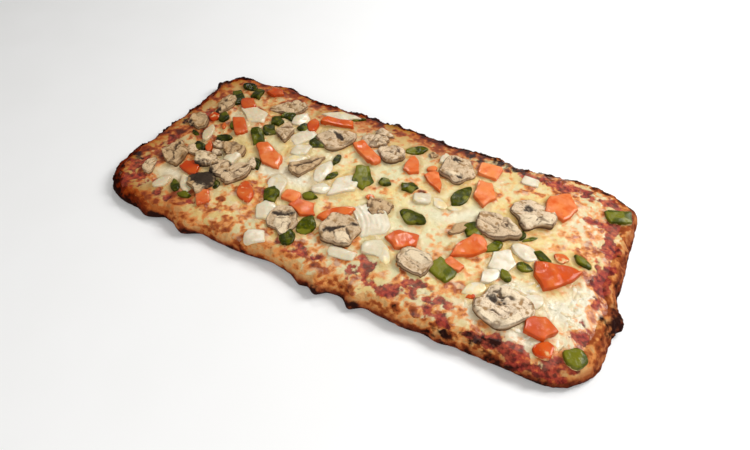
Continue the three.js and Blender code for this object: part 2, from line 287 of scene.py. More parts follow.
# %% [markdown]
# ## Colours and shared node groups
#
# Baking gives the finishes the same three effects: pale food goes golden, then brown, then black; fat leaves
# some spots wet and others dull; and thin melted cheese runs over the feet of the toppings. Each effect is
# one node group with named sockets, built once and placed in every material that needs it with that
# material's own values. A group only puts out colours and numbers. The surface shader stays in each material.

# %% Colours, and a short way to add nodes
def colour(red, green, blue):
    """A screen colour from 0 to 255 as the linear colour that shaders use."""
    screen = np.array([red, green, blue]) / 255
    linear = np.where(screen <= 0.04045, screen / 12.92, ((screen + 0.055) / 1.055) ** 2.4)
    return (*linear.tolist(), 1.0)


def add_node(tree, kind, inputs=None, **settings):
    """A node with its settings, and its inputs given as values or as sockets to be linked."""
    node = tree.nodes.new(kind)
    for name, value in settings.items():
        setattr(node, name, value)
    for name, value in (inputs or {}).items():
        if isinstance(value, bpy.types.NodeSocket):
            tree.links.new(value, node.inputs[name])
        else:
            node.inputs[name].default_value = value
    return node


def mixed(tree, share, under, over, blend="MIX"):
    """The colour socket that goes from under to over as share goes from 0 to 1. A colour mix has its share
    in input 0, its colours in 6 and 7, and its result in output 2."""
    inputs = {0: share, 6: under, 7: over}
    return add_node(tree, "ShaderNodeMix", inputs, data_type="RGBA", blend_type=blend).outputs[2]


def math_node(tree, operation, *values):
    """The number that the operation makes of two or three values."""
    return add_node(tree, "ShaderNodeMath", dict(enumerate(values)), operation=operation).outputs[0]


def highest(tree, first, *others):
    """The largest of several numbers."""
    for value in others:
        first = math_node(tree, "MAXIMUM", first, value)
    return first


def between(tree, value, low, high, start=0.0, end=1.0):
    """Goes smoothly from start to end as value goes from low to high."""
    inputs = {"Value": value, "From Min": low, "From Max": high, "To Min": start, "To Max": end}
    return add_node(tree, "ShaderNodeMapRange", inputs, interpolation_type="SMOOTHSTEP").outputs[0]


def grain(tree, size, detail=3.0, stretch=None):
    """Noise of that size in millimetres on Object coordinates, as a number round 0.5."""
    where = add_node(tree, "ShaderNodeTexCoord").outputs["Object"]
    if stretch:
        where = add_node(tree, "ShaderNodeMapping", {"Vector": where, "Scale": stretch}).outputs[0]
    inputs = {"Vector": where, "Scale": 1000 / size, "Detail": detail}
    return add_node(tree, "ShaderNodeTexNoise", inputs).outputs[0]


def patches(tree, size, detail, low, high, most=1.0):
    """Soft patches of noise of that size: 0 where it's under low, and most where it's over high."""
    return between(tree, grain(tree, size, detail), low, high, 0.0, most)


def mask(tree, name):
    """A mask of the piece, as a number."""
    return add_node(tree, "ShaderNodeAttribute", attribute_name=name).outputs["Fac"]


def faded(tree, name, strength):
    """A mask times a constant."""
    return math_node(tree, "MULTIPLY", mask(tree, name), strength)


def tinted(tree, under, name, strength, tint, blend="MIX"):
    """The colour under a tint that shows by a mask times a constant."""
    return mixed(tree, faded(tree, name, strength), under, tint, blend)


def new_group(name, inputs, outputs):
    """A node group with those sockets, and its input and output nodes."""
    tree = bpy.data.node_groups.new(name, "ShaderNodeTree")
    kinds = {"c": "NodeSocketColor", "f": "NodeSocketFloat"}
    for label, kind in inputs.items():
        tree.interface.new_socket(label, in_out="INPUT", socket_type=kinds[kind])
    for label, kind in outputs.items():
        tree.interface.new_socket(label, in_out="OUTPUT", socket_type=kinds[kind])
    return tree, tree.nodes.new("NodeGroupInput").outputs, tree.nodes.new("NodeGroupOutput").inputs


# %% The three shared effects
def browning_group():
    """Pale to golden to brown to burnt, as the browning goes from 0 to 1, broken up by fine noise."""
    inputs = {"Browning": "f", "Break-up": "f", "Pale": "c", "Golden": "c", "Brown": "c", "Burnt": "c"}
    tree, given, result = new_group("oven browning", inputs, {"Color": "c"})
    fine = math_node(tree, "SUBTRACT", grain(tree, 2.4, 5), 0.5)
    amount = math_node(tree, "MULTIPLY_ADD", fine, given["Break-up"], given["Browning"])
    golden = mixed(tree, between(tree, amount, 0.04, 0.42), given["Pale"], given["Golden"])
    brown = mixed(tree, between(tree, amount, 0.36, 0.76), golden, given["Brown"])
    burnt = mixed(tree, between(tree, amount, 0.8, 1.25), brown, given["Burnt"])
    tree.links.new(burnt, result["Color"])
    return tree


def moisture_group():
    """Roughness that falls to its wet value in soft patches of about 6 mm."""
    inputs = {"Wet": "f", "Dry": "f", "Share": "f"}
    tree, given, result = new_group("wet and dry spots", inputs, {"Roughness": "f"})
    uneven = math_node(tree, "ADD", grain(tree, 6, 3), given["Share"])
    wetness = between(tree, uneven, 0.85, 1.1)
    spread = math_node(tree, "SUBTRACT", given["Wet"], given["Dry"])
    tree.links.new(math_node(tree, "MULTIPLY_ADD", wetness, spread, given["Dry"]), result["Roughness"])
    return tree


def melted_film_group():
    """Where thin melted cheese has run over a topping: low on its sides, and in soft patches on top."""
    inputs = {"Lift": "f", "Share": "f"}
    tree, given, result = new_group("melted cheese film", inputs, {"Mask": "f"})
    uneven = math_node(tree, "ADD", grain(tree, 5, 3), given["Share"])
    over = between(tree, uneven, 0.95, 1.12)
    low = between(tree, math_node(tree, "ADD", given["Lift"], grain(tree, 3, 2)), 0.7, 0.95, 1.0, 0.0)
    tree.links.new(math_node(tree, "MAXIMUM", over, low), result["Mask"])
    return tree


BROWNING = browning_group()
MOISTURE = moisture_group()
FILM = melted_film_group()
print("node groups:", [tree.name for tree in bpy.data.node_groups])


def placed(tree, group, inputs):
    """A shared group placed in a material, with its own values."""
    return add_node(tree, "ShaderNodeGroup", inputs, node_tree=group).outputs[0]


def damp(tree, wet, dry, share):
    """The roughness of a surface that is wet in patches: more of them as the share grows."""
    return placed(tree, MOISTURE, {"Wet": wet, "Dry": dry, "Share": share})


def surface(tree, base, roughness, height, depth, **fixed):
    """The material's shader: base colour, roughness and a bump of that depth in mm, and fixed values."""
    shader = tree.nodes["Principled BSDF"]
    tree.links.new(base, shader.inputs["Base Color"])
    tree.links.new(roughness, shader.inputs["Roughness"])
    bump = add_node(tree, "ShaderNodeBump", {"Height": height, "Strength": 1.0, "Distance": depth / 1000})
    tree.links.new(bump.outputs[0], shader.inputs["Normal"])
    for name, value in fixed.items():
        shader.inputs[name.replace("_", " ")].default_value = value


def new_material(name):
    """A material with its surface shader, and its node tree."""
    material = bpy.data.materials.new(name)
    material.use_nodes = True
    return material, material.node_tree


# %% [markdown]
# ## Where the oven browned it
#
# Cheese, sauce and dough all took the same heat, so crust and cheese share one map of the baking: how
# brown, how much sauce shows, where it is charred or pale, where it is toasted and painted darker as shade,
# and where no cheese covers the dough. It could be painted by hand, but a rule keeps it editable: the margin
# browns by its distance from the edge, named spots add to that or take from it, and noise frays every border.

# %% Named baked spots
# The toppings and the baked spots were laid out from a point a little to the right and nearer.
LAYOUT_X = 4
LAYOUT_Y = -6

# Each row: x, y, length, width, turn in degrees, strength.
BROWN_SPOTS = [
    (-60, -62, 170, 40, 0, 0.06),
    (-52, -50, 150, 26, 0, 0.15),
    (85, -70, 130, 30, 2, 0.1),
    (-150, 0, 44, 140, 0, 0.44),
    (-120, 60, 90, 44, 0, 0.18),
    (-160, -40, 30, 60, 0, 0.15),
    (-156, 64, 34, 24, 0, -0.25),
    (156, 10, 26, 120, 0, 0.34),
    (-20, 78, 200, 22, 0, 0.6),
    (60, 77, 80, 15, 0, 0.5),
    (120, 74, 80, 24, 0, 0.28),
    (-72, -30, 16, 30, -50, 0.4),
    (-72, -16, 14, 7, 0, 0.35),
    (-28, 31, 16, 10, 0, 0.25),
    (10, 28, 24, 12, -10, 0.26),
    (26, 14, 20, 8, 0, 0.24),
    (3, 11, 14, 6, -10, 0.3),
    (-22, -20, 14, 9, 0, 0.34),
    (-24, 2, 16, 9, 0, 0.12),
    (52, 11, 10, 7, 20, 0.4),
    (62, 0, 22, 9, 40, 0.34),
    (0, -66, 30, 12, 0, 0.3),
    (-60, -60, 20, 14, 0, 0.2),
    (-86, -50, 20, 14, 0, 0.24),
    (145, -76, 56, 15, 3, 0.32),
    (157, -68, 26, 24, 0, -0.6),
    (98, -77, 50, 13, 0, 0.25),
    (86, -58, 22, 9, 0, 0.3),
    (84, 42, 28, 11, 20, 0.34),
    (98, 58, 36, 9, 12, 0.4),
    (128, 32, 32, 11, 10, 0.34),
    (140, 22, 15, 11, 0, 0.62),
    (129, 19, 11, 7, 0, 0.4),
    (142, 47, 18, 11, 20, 0.4),
    (100, -22, 20, 8, 10, 0.24),
    (80, -18, 18, 9, -20, 0.3),
    (60, -45, 44, 12, 5, 0.26),
    (54, -70, 60, 10, 3, 0.2),
    (30, 21, 5, 4, 0, 1.1),
    (-100, -50, 24, 12, 0, 0.3),
    (-158, -26, 16, 30, 10, 0.2),
    (-132, -42, 24, 14, 0, -0.5),
    (-128, 30, 24, 16, 0, -0.3),
    (92, 48, 18, 9, 10, -0.2),
    (-138, 12, 22, 20, 0, 0.16),
    (-110, 22, 16, 30, 0, 0.12),
    (150, -2, 16, 10, 0, 0.32),
]
SAUCE_SPOTS = [
    (24, -54, 12, 20, -10, 0.9),
    (56, -53, 18, 8, 10, 0.9),
    (46, -63, 30, 9, 5, 0.6),
    (74, -56, 20, 7, 0, 0.75),
    (31, -71, 20, 10, 0, 0.55),
    (80, -66, 24, 8, -5, 0.6),
    (104, -66, 22, 12, 0, 0.8),
    (118, -64, 20, 12, 0, 0.8),
    (128, -70, 34, 14, 0, 0.9),
    (146, -67, 18, 14, 20, 0.9),
    (150, -42, 12, 22, 10, 0.8),
    (154, 22, 13, 60, 0, 0.8),
    (152, 48, 9, 26, 0, 0.8),
    (154, -8, 10, 20, 0, 0.75),
    (138, 48, 16, 9, 10, 0.8),
    (130, 73, 66, 10, 0, 0.7),
    (96, 70, 20, 8, 0, 0.5),
    (-156, -48, 16, 18, 30, 0.5),
    (-149, -63, 18, 13, -30, 0.5),
    (-138, -54, 16, 9, 0, 0.5),
    (-154, -22, 12, 30, 0, 0.35),
    (-152, 25, 10, 20, 0, 0.5),
    (-36, -51, 20, 9, 0, 0.45),
    (-66, -34, 10, 16, 0, 0.45),
    (-10, -60, 30, 9, 0, 0.35),
    (-32, -62, 26, 11, 0, 0.35),
    (-110, -62, 50, 12, 0, 0.35),
    (90, -47, 10, 6, 30, 0.6),
]
CHAR_SPOTS = [
    (101, -71, 15, 11, 0, 0.9),
    (112, -66, 9, 5, 0, 0.6),
    (128, -78, 44, 7, 0, 0.5),
    (82, -76, 16, 9, 0, 0.6),
    (60, 79, 64, 13, 0, 1.0),
    (-10, 84, 90, 9, 0, 0.9),
    (-62, 83, 50, 7, -2, 0.6),
    (22, 61, 7, 6, 0, 0.7),
    (-146, 30, 7, 9, 0, 0.9),
    (-159, 6, 5, 14, 30, 0.8),
    (168, -20, 16, 22, 0, 1.4),
    (-173, 66, 14, 14, 0, 1.1),
    (9, -88, 17, 13, 0, 1.2),
    (32, -87, 14, 12, 0, 1.2),
    (-118, -85, 18, 11, 0, 1.0),
    (-90, -87, 18, 11, 0, 1.0),
    (-163, -40, 9, 10, 0, 0.7),
    (-170, 5, 6, 60, 0, 0.7),
    (-164, -60, 10, 20, 20, 0.4),
    (156, 30, 6, 10, 0, 0.5),
]
PALE_SPOTS = [
    (150, -14, 20, 18, 0, 1.0),
    (140, -31, 30, 16, 10, 1.0),
    (124, -59, 26, 12, -10, 0.9),
    (110, -26, 24, 10, 0, 0.8),
    (104, -54, 36, 9, 0, 0.7),
    (92, -56, 20, 14, 0, 0.5),
    (140, 42, 22, 22, 0, 0.6),
    (146, -50, 14, 16, 0, 0.5),
    (-128, -44, 24, 14, -10, 0.9),
    (-60, -8, 54, 16, 5, 1.0),
    (60, 12, 34, 14, 30, 0.7),
    (38, -20, 20, 12, 0, 0.5),
    (-40, 26, 20, 12, 0, 0.4),
    (-130, 33, 22, 14, 0, 0.6),
    (-105, 70, 40, 8, 0, 0.4),
    (0, -50, 40, 10, 0, 0.5),
]


def in_halves(x, y, place_x, place_y, length, width, turn):
    """How far points lie along and across a place of the layout, in its half lengths and half widths."""
    along, across = turned(x - place_x - LAYOUT_X, y - place_y - LAYOUT_Y, turn)
    return along * 2 / length, across * 2 / width


def spots(x, y, rows):
    """The sum over the spots of strength * exp(-0.7 * (distance in half lengths and widths)³)."""
    total = np.zeros(np.shape(x))
    for *place, strength in rows:
        along, across = in_halves(x, y, *place)
        total += strength * np.exp(-((along**2 + across**2) ** 1.5) * 0.7)
    return total


def depth_inside(x, y):
    """How far a point lies inside the plain outline, with one middling radius at all four corners."""
    radius = sum(CORNER_RADII) / 4
    over_x, over_y = np.abs(x) - LENGTH / 2 + radius, np.abs(y) - WIDTH / 2 + radius
    corner = np.hypot(np.maximum(over_x, 0), np.maximum(over_y, 0))
    return radius - corner - np.minimum(np.maximum(over_x, over_y), 0)


# %% The map of the baking
# How far inwards the margin's heat reaches, in mm: from the near side, the far side, and at the right end.
NEAR_REACH = 30
FAR_REACH = 17
RIGHT_REACH = 20

# Browning over this counts for a little more than half, so that hot places don't go evenly dark.
BROWNING_KNEE = 0.52


def towards_left(x):
    """0 in the right half, rising to 1 at the left end: baked hardest there, and painted darker as shade."""
    return ease(-x, 20, 165)


def browned(heat, clumps, blotch, speckle):
    """0.72 * heat, broken up by clumps, sharp-peaked blotches and speckles that all grow with the heat."""
    peaks = blotch + 0.5 * np.abs(blotch) - 0.2
    browning = 0.72 * heat + (0.08 + 0.34 * heat) * clumps + (0.07 + 0.9 * heat) * peaks
    browning = browning + (0.07 + 0.4 * heat) * speckle
    return browning - 0.45 * np.maximum(browning - BROWNING_KNEE, 0)


def toast_and_shade(x, y, depth):
    """Toast and painted shade: most at the left end, then the far side, and least along the other margins."""
    at_edge = np.minimum(1.5 * np.exp(-np.maximum(depth, 0) / 18), 1)
    far_side = at_edge * ease(y, 10, 55) * ease(-x, -110, -20)
    return np.maximum(towards_left(x) * (0.3 + 0.7 * at_edge), np.maximum(far_side, 0.3 * at_edge))


def baking(x, y):
    """Browning from 0 to 1; sauce and char, from about 0.5; pale; toasted and painted shade; bare of cheese.

    All noise is read along turned axes, so that its square lattice doesn't follow the bread's sides. The
    left rim is baked evenly dark. Near the right end and its near corner the cheese ends further in."""
    along, across = 0.8 * x + 0.6 * y, 0.8 * y - 0.6 * x
    clumps = 1.5 * rough(along, across, 17, 61, 2)
    blotch = 1.9 * rough(along, across, 4.6, 71, 3)
    speckle = 1.6 * rough(along, across, 2.6, 81, 2)
    frayed = 1.9 * rough(along, across, 6, 101, 4)
    depth = depth_inside(x, y)

    from_right = ease(-x, -150, 0)
    reach = np.where(y < 0, NEAR_REACH, FAR_REACH) * from_right + RIGHT_REACH * (1 - from_right)
    margin = np.exp(-np.maximum(depth, 0) / reach)
    pale = np.clip(spots(x, y, PALE_SPOTS), 0, 1)
    heat = np.clip(0.04 + 0.42 * margin + spots(x, y, BROWN_SPOTS) - 0.25 * pale, 0, 0.9)
    browning = browned(heat, clumps, blotch, speckle)
    left_rim = ease(-x, 80, 150) * (1 - ease(depth + 2 * clumps, 2, 13))
    browning = browning * (1 - 0.5 * left_rim) + 0.4 * left_rim

    near_sauce = spots(x, y, SAUCE_SPOTS)
    sauce = near_sauce + frayed * ease(near_sauce, 0, 0.5) + 0.1 * heat
    sauce = sauce - 0.5 * ease(pale + 0.5 * frayed, 0.4, 0.7)
    near_char = spots(x, y, CHAR_SPOTS)
    char = near_char + 1.5 * rough(along, across, 3.6, 131, 4) * ease(near_char, 0, 0.3)
    thin = np.maximum(9 * ease(x, 146, 166), 7 * ease(x, 96, 140) * ease(-y, 50, 74))
    bare = ease(depth + 1.2 * blotch - thin, -2.5, -7.5)
    # The left end and the far side: toasted, and painted darker as shade.
    toasted_and_shaded = toast_and_shade(x, y, depth) * (1 - 0.7 * pale)
    masks = {"browning": browning, "sauce": sauce, "char": char}
    return masks | {"pale": pale, "toasted_and_shaded": toasted_and_shaded, "bare": bare}


middle = baking(np.array([0.0, 100.0]), np.array([0.0, -75.0]))
print("browning in the middle and at the near edge:", middle["browning"].round(2))

# %% [markdown]
# ## The crust
#
# The base is thin bread: flat and dull below, rounded and craggy at its rim, mottled like the cheese on top
# of the rim, toasted and painted darker as shade at the left, and dark brown to black low on its side: burnt
# where it met the hot tray, and painted shade where it meets the floor. The rim is one section carried round
# the outline: how far inside the outline each point lies, and how high. Noise pushes the section in and
# out for the crags, most where the dough is charred.

# %% The crust's section
# How far inside the outline, how high, and how much of the crags' relief each point takes.
CRUST_SECTION = [
    (3, 0, 0),
    (0.4, 1.6, 0.4),
    (0, 3.4, 0.8),
    (1, 6.2, 1),
    (3.4, 8.8, 1),
    (7.6, RIM_HEIGHT, 0.8),
    (RIM_WIDTH, BED_HEIGHT, 0),
]
SECTION_STEPS = 7


def smooth_rows(rows, steps):
    """A smooth path through the rows: the Catmull-Rom blend of each two rows and their neighbours."""
    rows = np.array(rows, float)
    ends = np.concatenate([[2 * rows[0] - rows[1]], rows, [2 * rows[-1] - rows[-2]]])
    t = np.arange(steps)[None, :, None] / steps
    a, b, c, d = (ends[k : len(ends) - 3 + k][:, None] for k in range(4))
    path = 0.5 * (2 * b + (c - a) * t + (2 * a - 5 * b + 4 * c - d) * t**2 + (3 * b - a - 3 * c + d) * t**3)
    return np.concatenate([path.reshape(-1, rows.shape[1]), rows[-1:]])


def on_middle_line(x):
    """The nearest place on the bread's long middle line, which ends half a width short of each end."""
    half = (LENGTH - WIDTH) / 2
    return np.clip(x, -half, half)


def moved_in(inset):
    """The outline moved in by a number of mm: each point goes towards the bread's long middle line."""
    middle = np.column_stack([on_middle_line(outline[:, 0]), np.zeros(len(outline))])
    share = np.asarray(inset)[..., None] / (WIDTH / 2)
    return outline * (1 - share) + middle * share


def crust_level(x, y, inset):
    """The height of the crust's upper side by how far in it lies: the section's, with its share of swells."""
    insets, heights, crags = zip(*CRUST_SECTION[3:])
    level = np.interp(inset, insets, heights)
    return level + np.interp(inset, insets[2:], crags[2:]) * swell(CRUST_SWELLS, x, y)


# %% The crust's surface
def crust_points():
    """The smoothed section at each outline point, with crags: noise moves each point in and up."""
    section = smooth_rows(CRUST_SECTION, SECTION_STEPS)
    inset, height, crag = (section[:, k][:, None] for k in range(3))
    ring = moved_in(np.broadcast_to(inset, (len(section), len(outline))))
    x, y = ring[..., 0], ring[..., 1]
    lumps = rough(x + height * 1.3, y - height * 1.1, 7, 11, 4)
    crags = rough(x + height * 0.6, y - height * 0.5, 2.8, 31, 3)
    char = ease(baking(x, y)["char"], 0.3, 0.8)
    ring = moved_in(inset - crag * (1.0 * lumps + (0.8 + 1.3 * char) * crags))
    level = height + crag * (swell(CRUST_SWELLS, x, y) + 0.4 * lumps + (0.4 + 0.7 * char) * crags)
    return np.dstack([ring, np.broadcast_to(level, x.shape)])


def unfolded(points):
    """The side laid out flat: points move outwards from the middle line by how far they lie under the rim."""
    x, y, z = points[..., 0], points[..., 1], points[..., 2]
    out_x, out_y = x - on_middle_line(x), y
    fall = np.maximum(RIM_HEIGHT - z, 0) / np.maximum(np.hypot(out_x, out_y), 1)
    return x + fall * out_x, y + fall * out_y


def crust_masks(points):
    """The map of the baking laid over the side too, which is toasted, browner at the left end and on the far
    side, more even at the right end, free of sauce lower down, and dark to black at its foot: burnt on the
    tray, and painted shade where it meets the floor."""
    x, y = unfolded(points)
    z = points[..., 2]
    masks = baking(x, y)
    low = z + 1.6 * rough(x, y, 7, 141, 3)
    calm = ease(x, 150, 172)
    # Browner, more toasted and charred towards the foot: burnt on the tray, and painted shade at the floor.
    masks["browning"] = masks["browning"] * (1 - 0.15 * calm) + 0.12 * calm + 0.8 * (1 - ease(low, 1.5, 7))
    masks["toasted_and_shaded"] = np.maximum(masks["toasted_and_shaded"], 0.6 * (1 - ease(z, 5, 10)))
    masks["browning"] += 0.45 * ease(-x, 110, 166) + 0.6 * ease(y, 66, 76)
    masks["sauce"] = masks["sauce"] * ease(z, 1, 5) * (1 - 0.5 * calm)
    masks["char"] = np.maximum(masks["char"], 0.95 * (1 - ease(low, 0.6, 3.4)) * (z > 0.05))
    return masks


def crust_shape():
    """The crust's rows of points, their faces, ladders that fill the first and last row, and the masks."""
    points = crust_points()
    rows, columns = points.shape[:2]
    ring = np.arange(columns)
    ladders = [ladder_faces(ring, True), ladder_faces((rows - 1) * columns + ring, False)]
    print("crust:", rows, "rows of", columns, "points")
    return points.reshape(-1, 3), band_faces(rows, columns), np.concatenate(ladders), crust_masks(points)


# %% Baked dough
SAUCE_DARK = colour(92, 32, 36)
SAUCE_RED = colour(164, 62, 54)
SAUCE_ORANGE = colour(205, 110, 64)
CHAR_COLOUR = colour(42, 18, 13)
DOUGH_PALE = colour(200, 136, 84)
DOUGH_GOLDEN = colour(178, 104, 60)
DOUGH_BROWN = colour(122, 58, 36)
CHEESE_GOLDEN = colour(229, 153, 85)
CHEESE_BROWN = colour(165, 84, 42)


def oven_browned(tree, pale, break_up, burnt):
    """The colours of browned cheese, from its pale one to burnt, and those of dough where it's bare."""
    bare = mask(tree, "bare")
    return placed(tree, BROWNING, {
        "Browning": mask(tree, "browning"),
        "Break-up": break_up,
        "Pale": mixed(tree, bare, pale, DOUGH_PALE),
        "Golden": mixed(tree, bare, CHEESE_GOLDEN, DOUGH_GOLDEN),
        "Brown": mixed(tree, bare, CHEESE_BROWN, DOUGH_BROWN),
        "Burnt": burnt,
    })


def sauced_and_charred(tree, baked):
    """Over the browned colour come the tomato sauce that shows through it, in dark, red and orange clots and
    browner where the bread is toasted and painted darker as shade, and then what is charred."""
    fine = math_node(tree, "MULTIPLY_ADD", grain(tree, 2.2, 4), 0.9, -0.45)
    clots = grain(tree, 3.0, 4)
    deep = mixed(tree, between(tree, clots, 0.36, 0.56), SAUCE_DARK, SAUCE_RED)
    red = mixed(tree, between(tree, clots, 0.54, 0.72), deep, SAUCE_ORANGE)
    # Browner where toasted, and darker by painted shade, at the left end and the far side.
    red = tinted(tree, red, "toasted_and_shaded", 0.8, colour(226, 190, 96), "MULTIPLY")
    sauce = between(tree, math_node(tree, "ADD", mask(tree, "sauce"), fine), 0.34, 0.74, 0.0, 0.92)
    char = between(tree, math_node(tree, "MULTIPLY_ADD", fine, 0.9, mask(tree, "char")), 0.2, 1.2)
    saucy = mixed(tree, sauce, baked, red)
    return mixed(tree, char, saucy, CHAR_COLOUR)


def crust_material():
    """Browned dough, or cheese where some lies on the rim, dull and crumbly."""
    material, tree = new_material("baked dough")
    baked = oven_browned(tree, colour(222, 178, 118), 0.7, colour(54, 26, 16))
    # Toasted, and painted darker as shade, at the left end and along the far side.
    toasted_and_shaded = tinted(tree, baked, "toasted_and_shaded", 1.0, colour(168, 100, 8), "MULTIPLY")
    base = sauced_and_charred(tree, toasted_and_shaded)
    crumb = math_node(tree, "ADD", grain(tree, 1.1, 4), grain(tree, 3.5, 2))
    surface(tree, base, damp(tree, 0.42, 0.8, 0.3), crumb, 0.7, Specular_IOR_Level=0.04)
    return material


crust = make_piece("crust_baked", crust_shape(), crust_material())
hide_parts("crust")

# %% [markdown]
# ## Where the toppings lie
#
# The cheese swells up round whatever lies in it, so the toppings' places come before its surface. Each row
# gives the form, x, y, length, width, turn, how much higher than its kind the piece stands, and its tone:
# from 0, dark or deep, to 1, pale. The first four tables hold the pieces as large as a berry, and the others
# the small ones that are baked into the cheese.

# %% The toppings' rows
ONIONS = [
    ("chip", -119, 39, 27, 17, -25, 0, 0.7),
    ("kite", -60, 69, 33, 13, 15, 0, 0.5),
    ("block", -72, 33, 20, 13, 60, 0, 0.7),
    ("petal", -39, 7, 25, 11, 95, 0, 0.8),
    ("kite", -19, 3, 32, 18, 70, 0, 0.8),
    ("petal", -59, -20, 22, 13, -60, 0, 0.8),
    ("block", 12, -19, 27, 21, -50, 0, 0.6),
    ("chip", 25, -39, 18, 14, 20, 0, 0.3),
    ("chip", 97, -12, 19, 16, 80, 0, 1.0),
]
PEPPERS = [
    ("block", -144, 52, 20, 9, -45, 0, 0.3),
    ("block", -101, 17, 18, 9, -47, 0, 0.6),
    ("block", -60, 35, 16, 12, -60, 0, 0.2),
    ("chip", -12, 15, 25, 15, -62, 0, 0.7),
    ("petal", 55, 29, 24, 11, 80, 0, 0.4),
    ("chip", -57, -29, 18, 12, 110, 0, 0.5),
    ("torn", 34, -4, 19, 12, -10, 0, 0.3),
    ("block", 67, -35, 17, 13, -25, 0, 0.9),
    ("chip", 73, 5, 15, 13, 40, 0, 0.4),
    ("block", 153, 61, 17, 11, 20, 0, 0.8),
    ("petal", -22, -42, 17, 12, 95, 0, 0.5),
]
TOMATOES = [
    ("chip", -81, 3, 33, 15, -33, 0, 0.8),
    ("block", -57, 60, 25, 8, 15, 0.6, 0.2),
    ("block", -22, 40, 29, 10, -32, 0, 0.6),
    ("wedge", 13, 43, 22, 13, 105, 0, 0.5),
    ("wedge", 34, 34, 23, 12, -50, 0, 0.5),
    ("block", 64, 63, 16, 14, 0, 0, 1.0),
    ("chip", 68, 39, 24, 15, -75, 0.6, 0.8),
    ("chip", 117, 50, 26, 21, 80, 0.5, 0.7),
    ("chip", -32, -30, 19, 13, -10, 0, 0.3),
    ("chip", 37, -25, 21, 16, 195, 0, 0.3),
    ("wedge", 75, -12, 28, 17, 235, 0.5, 0.5),
    ("wedge", 129, -8, 30, 22, 30, 1, 0.15),
    ("chip", 129, -48, 18, 16, 10, 0.8, 0.15),
    ("wedge", -120, -34, 17, 15, -30, 0, 0.1),
    ("block", -120, 21, 20, 10, -47, 0, 0.5),
    ("petal", -10, -25, 25, 10, 42, 0, 0.3),
]
MUSHROOMS = [
    ("torn", -147, 40, 25, 12, -78, 0, 0.5),
    ("slice", -151, 11, 20, 15, -38, 0.4, 0.4),
    ("torn", -141, -26, 26, 17, -60, 0.4, 0.4),
    ("slice", -105, -42, 19, 23, 25, 0, 0.1),
    ("torn", -118, -22, 17, 14, -15, 0.8, 0.8),
    ("torn", -102, -26, 18, 14, -25, 1.4, 0.5),
    ("torn", -89, -24, 26, 15, 80, 0.6, 0.5),
    ("torn", -106, -4, 18, 14, -10, 0.6, 0.2),
    ("torn", -100, 59, 30, 16, 33, 0, 0.5),
    ("torn", -86, 31, 22, 13, -65, 0.4, 0.5),
    ("cap", -50, 45, 30, 30, 212, 0.4, 0.5),
    ("torn", -23, 54, 21, 14, 10, 0, 0.6),
    ("torn", -5, 46, 22, 18, -10, 0.8, 0.6),
    ("wedge", -52, 7, 30, 16, 62, 0.4, 0.2),
    ("slice", 43, 53, 25, 31, 20, 0.4, 0.5),
    ("wedge", 12, -6, 19, 19, 30, 0.4, 0.2),
    ("slice", -37, -46, 19, 26, 32, 0.4, 0.4),
    ("slice", -1, -37, 26, 27, 42, 1.2, 0.4),
    ("block", 51, -38, 21, 17, -5, 1, 0.5),
    ("torn", 85, 13, 28, 22, -12, 1, 0.5),
    ("slice", 103, 34, 31, 27, -8, 0.4, 0.7),
    ("slice", 107, -44, 34, 29, 205, 0.8, 0.9),
]
SMALL_ONIONS = [
    ("chip", -84, 50, 17, 14, 90, 0, 0.7),
    ("chip", -52, -43, 20, 14, 110, 0, 0.5),
    ("kite", -65, 20, 20, 14, 60, 0, 0.7),
    ("petal", -136, 4, 20, 8, -70, 0, 0.4),
    ("petal", -129, -54, 14, 9, 75, 0, 0.6),
    ("petal", -113, -48, 18, 8, -45, 0, 0.5),
    ("block", -45, -65, 13, 10, 30, -0.2, 0.9),
    ("block", 9, -52, 18, 8, 5, 0, 0.4),
    ("wedge", 31, 62, 15, 10, 110, 0, 0.5),
    ("petal", 94, -26, 15, 9, 65, 0, 0.9),
    ("petal", 121, -33, 15, 10, 40, 0, 0.7),
    ("block", 33, 15, 12, 10, 20, 0, 0.4),
    ("block", 92, 66, 12, 9, 0, 0, 0.8),
    ("chip", -31, -9, 14, 11, 40, 0, 0.5),
    ("petal", -63, 10, 17, 9, 50, -0.6, 0.6),
    ("petal", 107, 1, 18, 12, -15, 0.4, 0.9),
    ("petal", 89, -39, 16, 9, 50, -0.6, 0.7),
    ("block", -102, -12, 12, 9, 90, 1.6, 0.6),
    ("petal", 56, 17, 12, 6, 30, -0.6, 0.5),
    ("petal", -15, 43, 11, 7, 20, -0.4, 0.5),
    ("petal", 33, -42, 14, 7, -60, -0.6, 0.4),
    ("petal", 45, 16, 13, 8, -30, -0.6, 0.5),
]
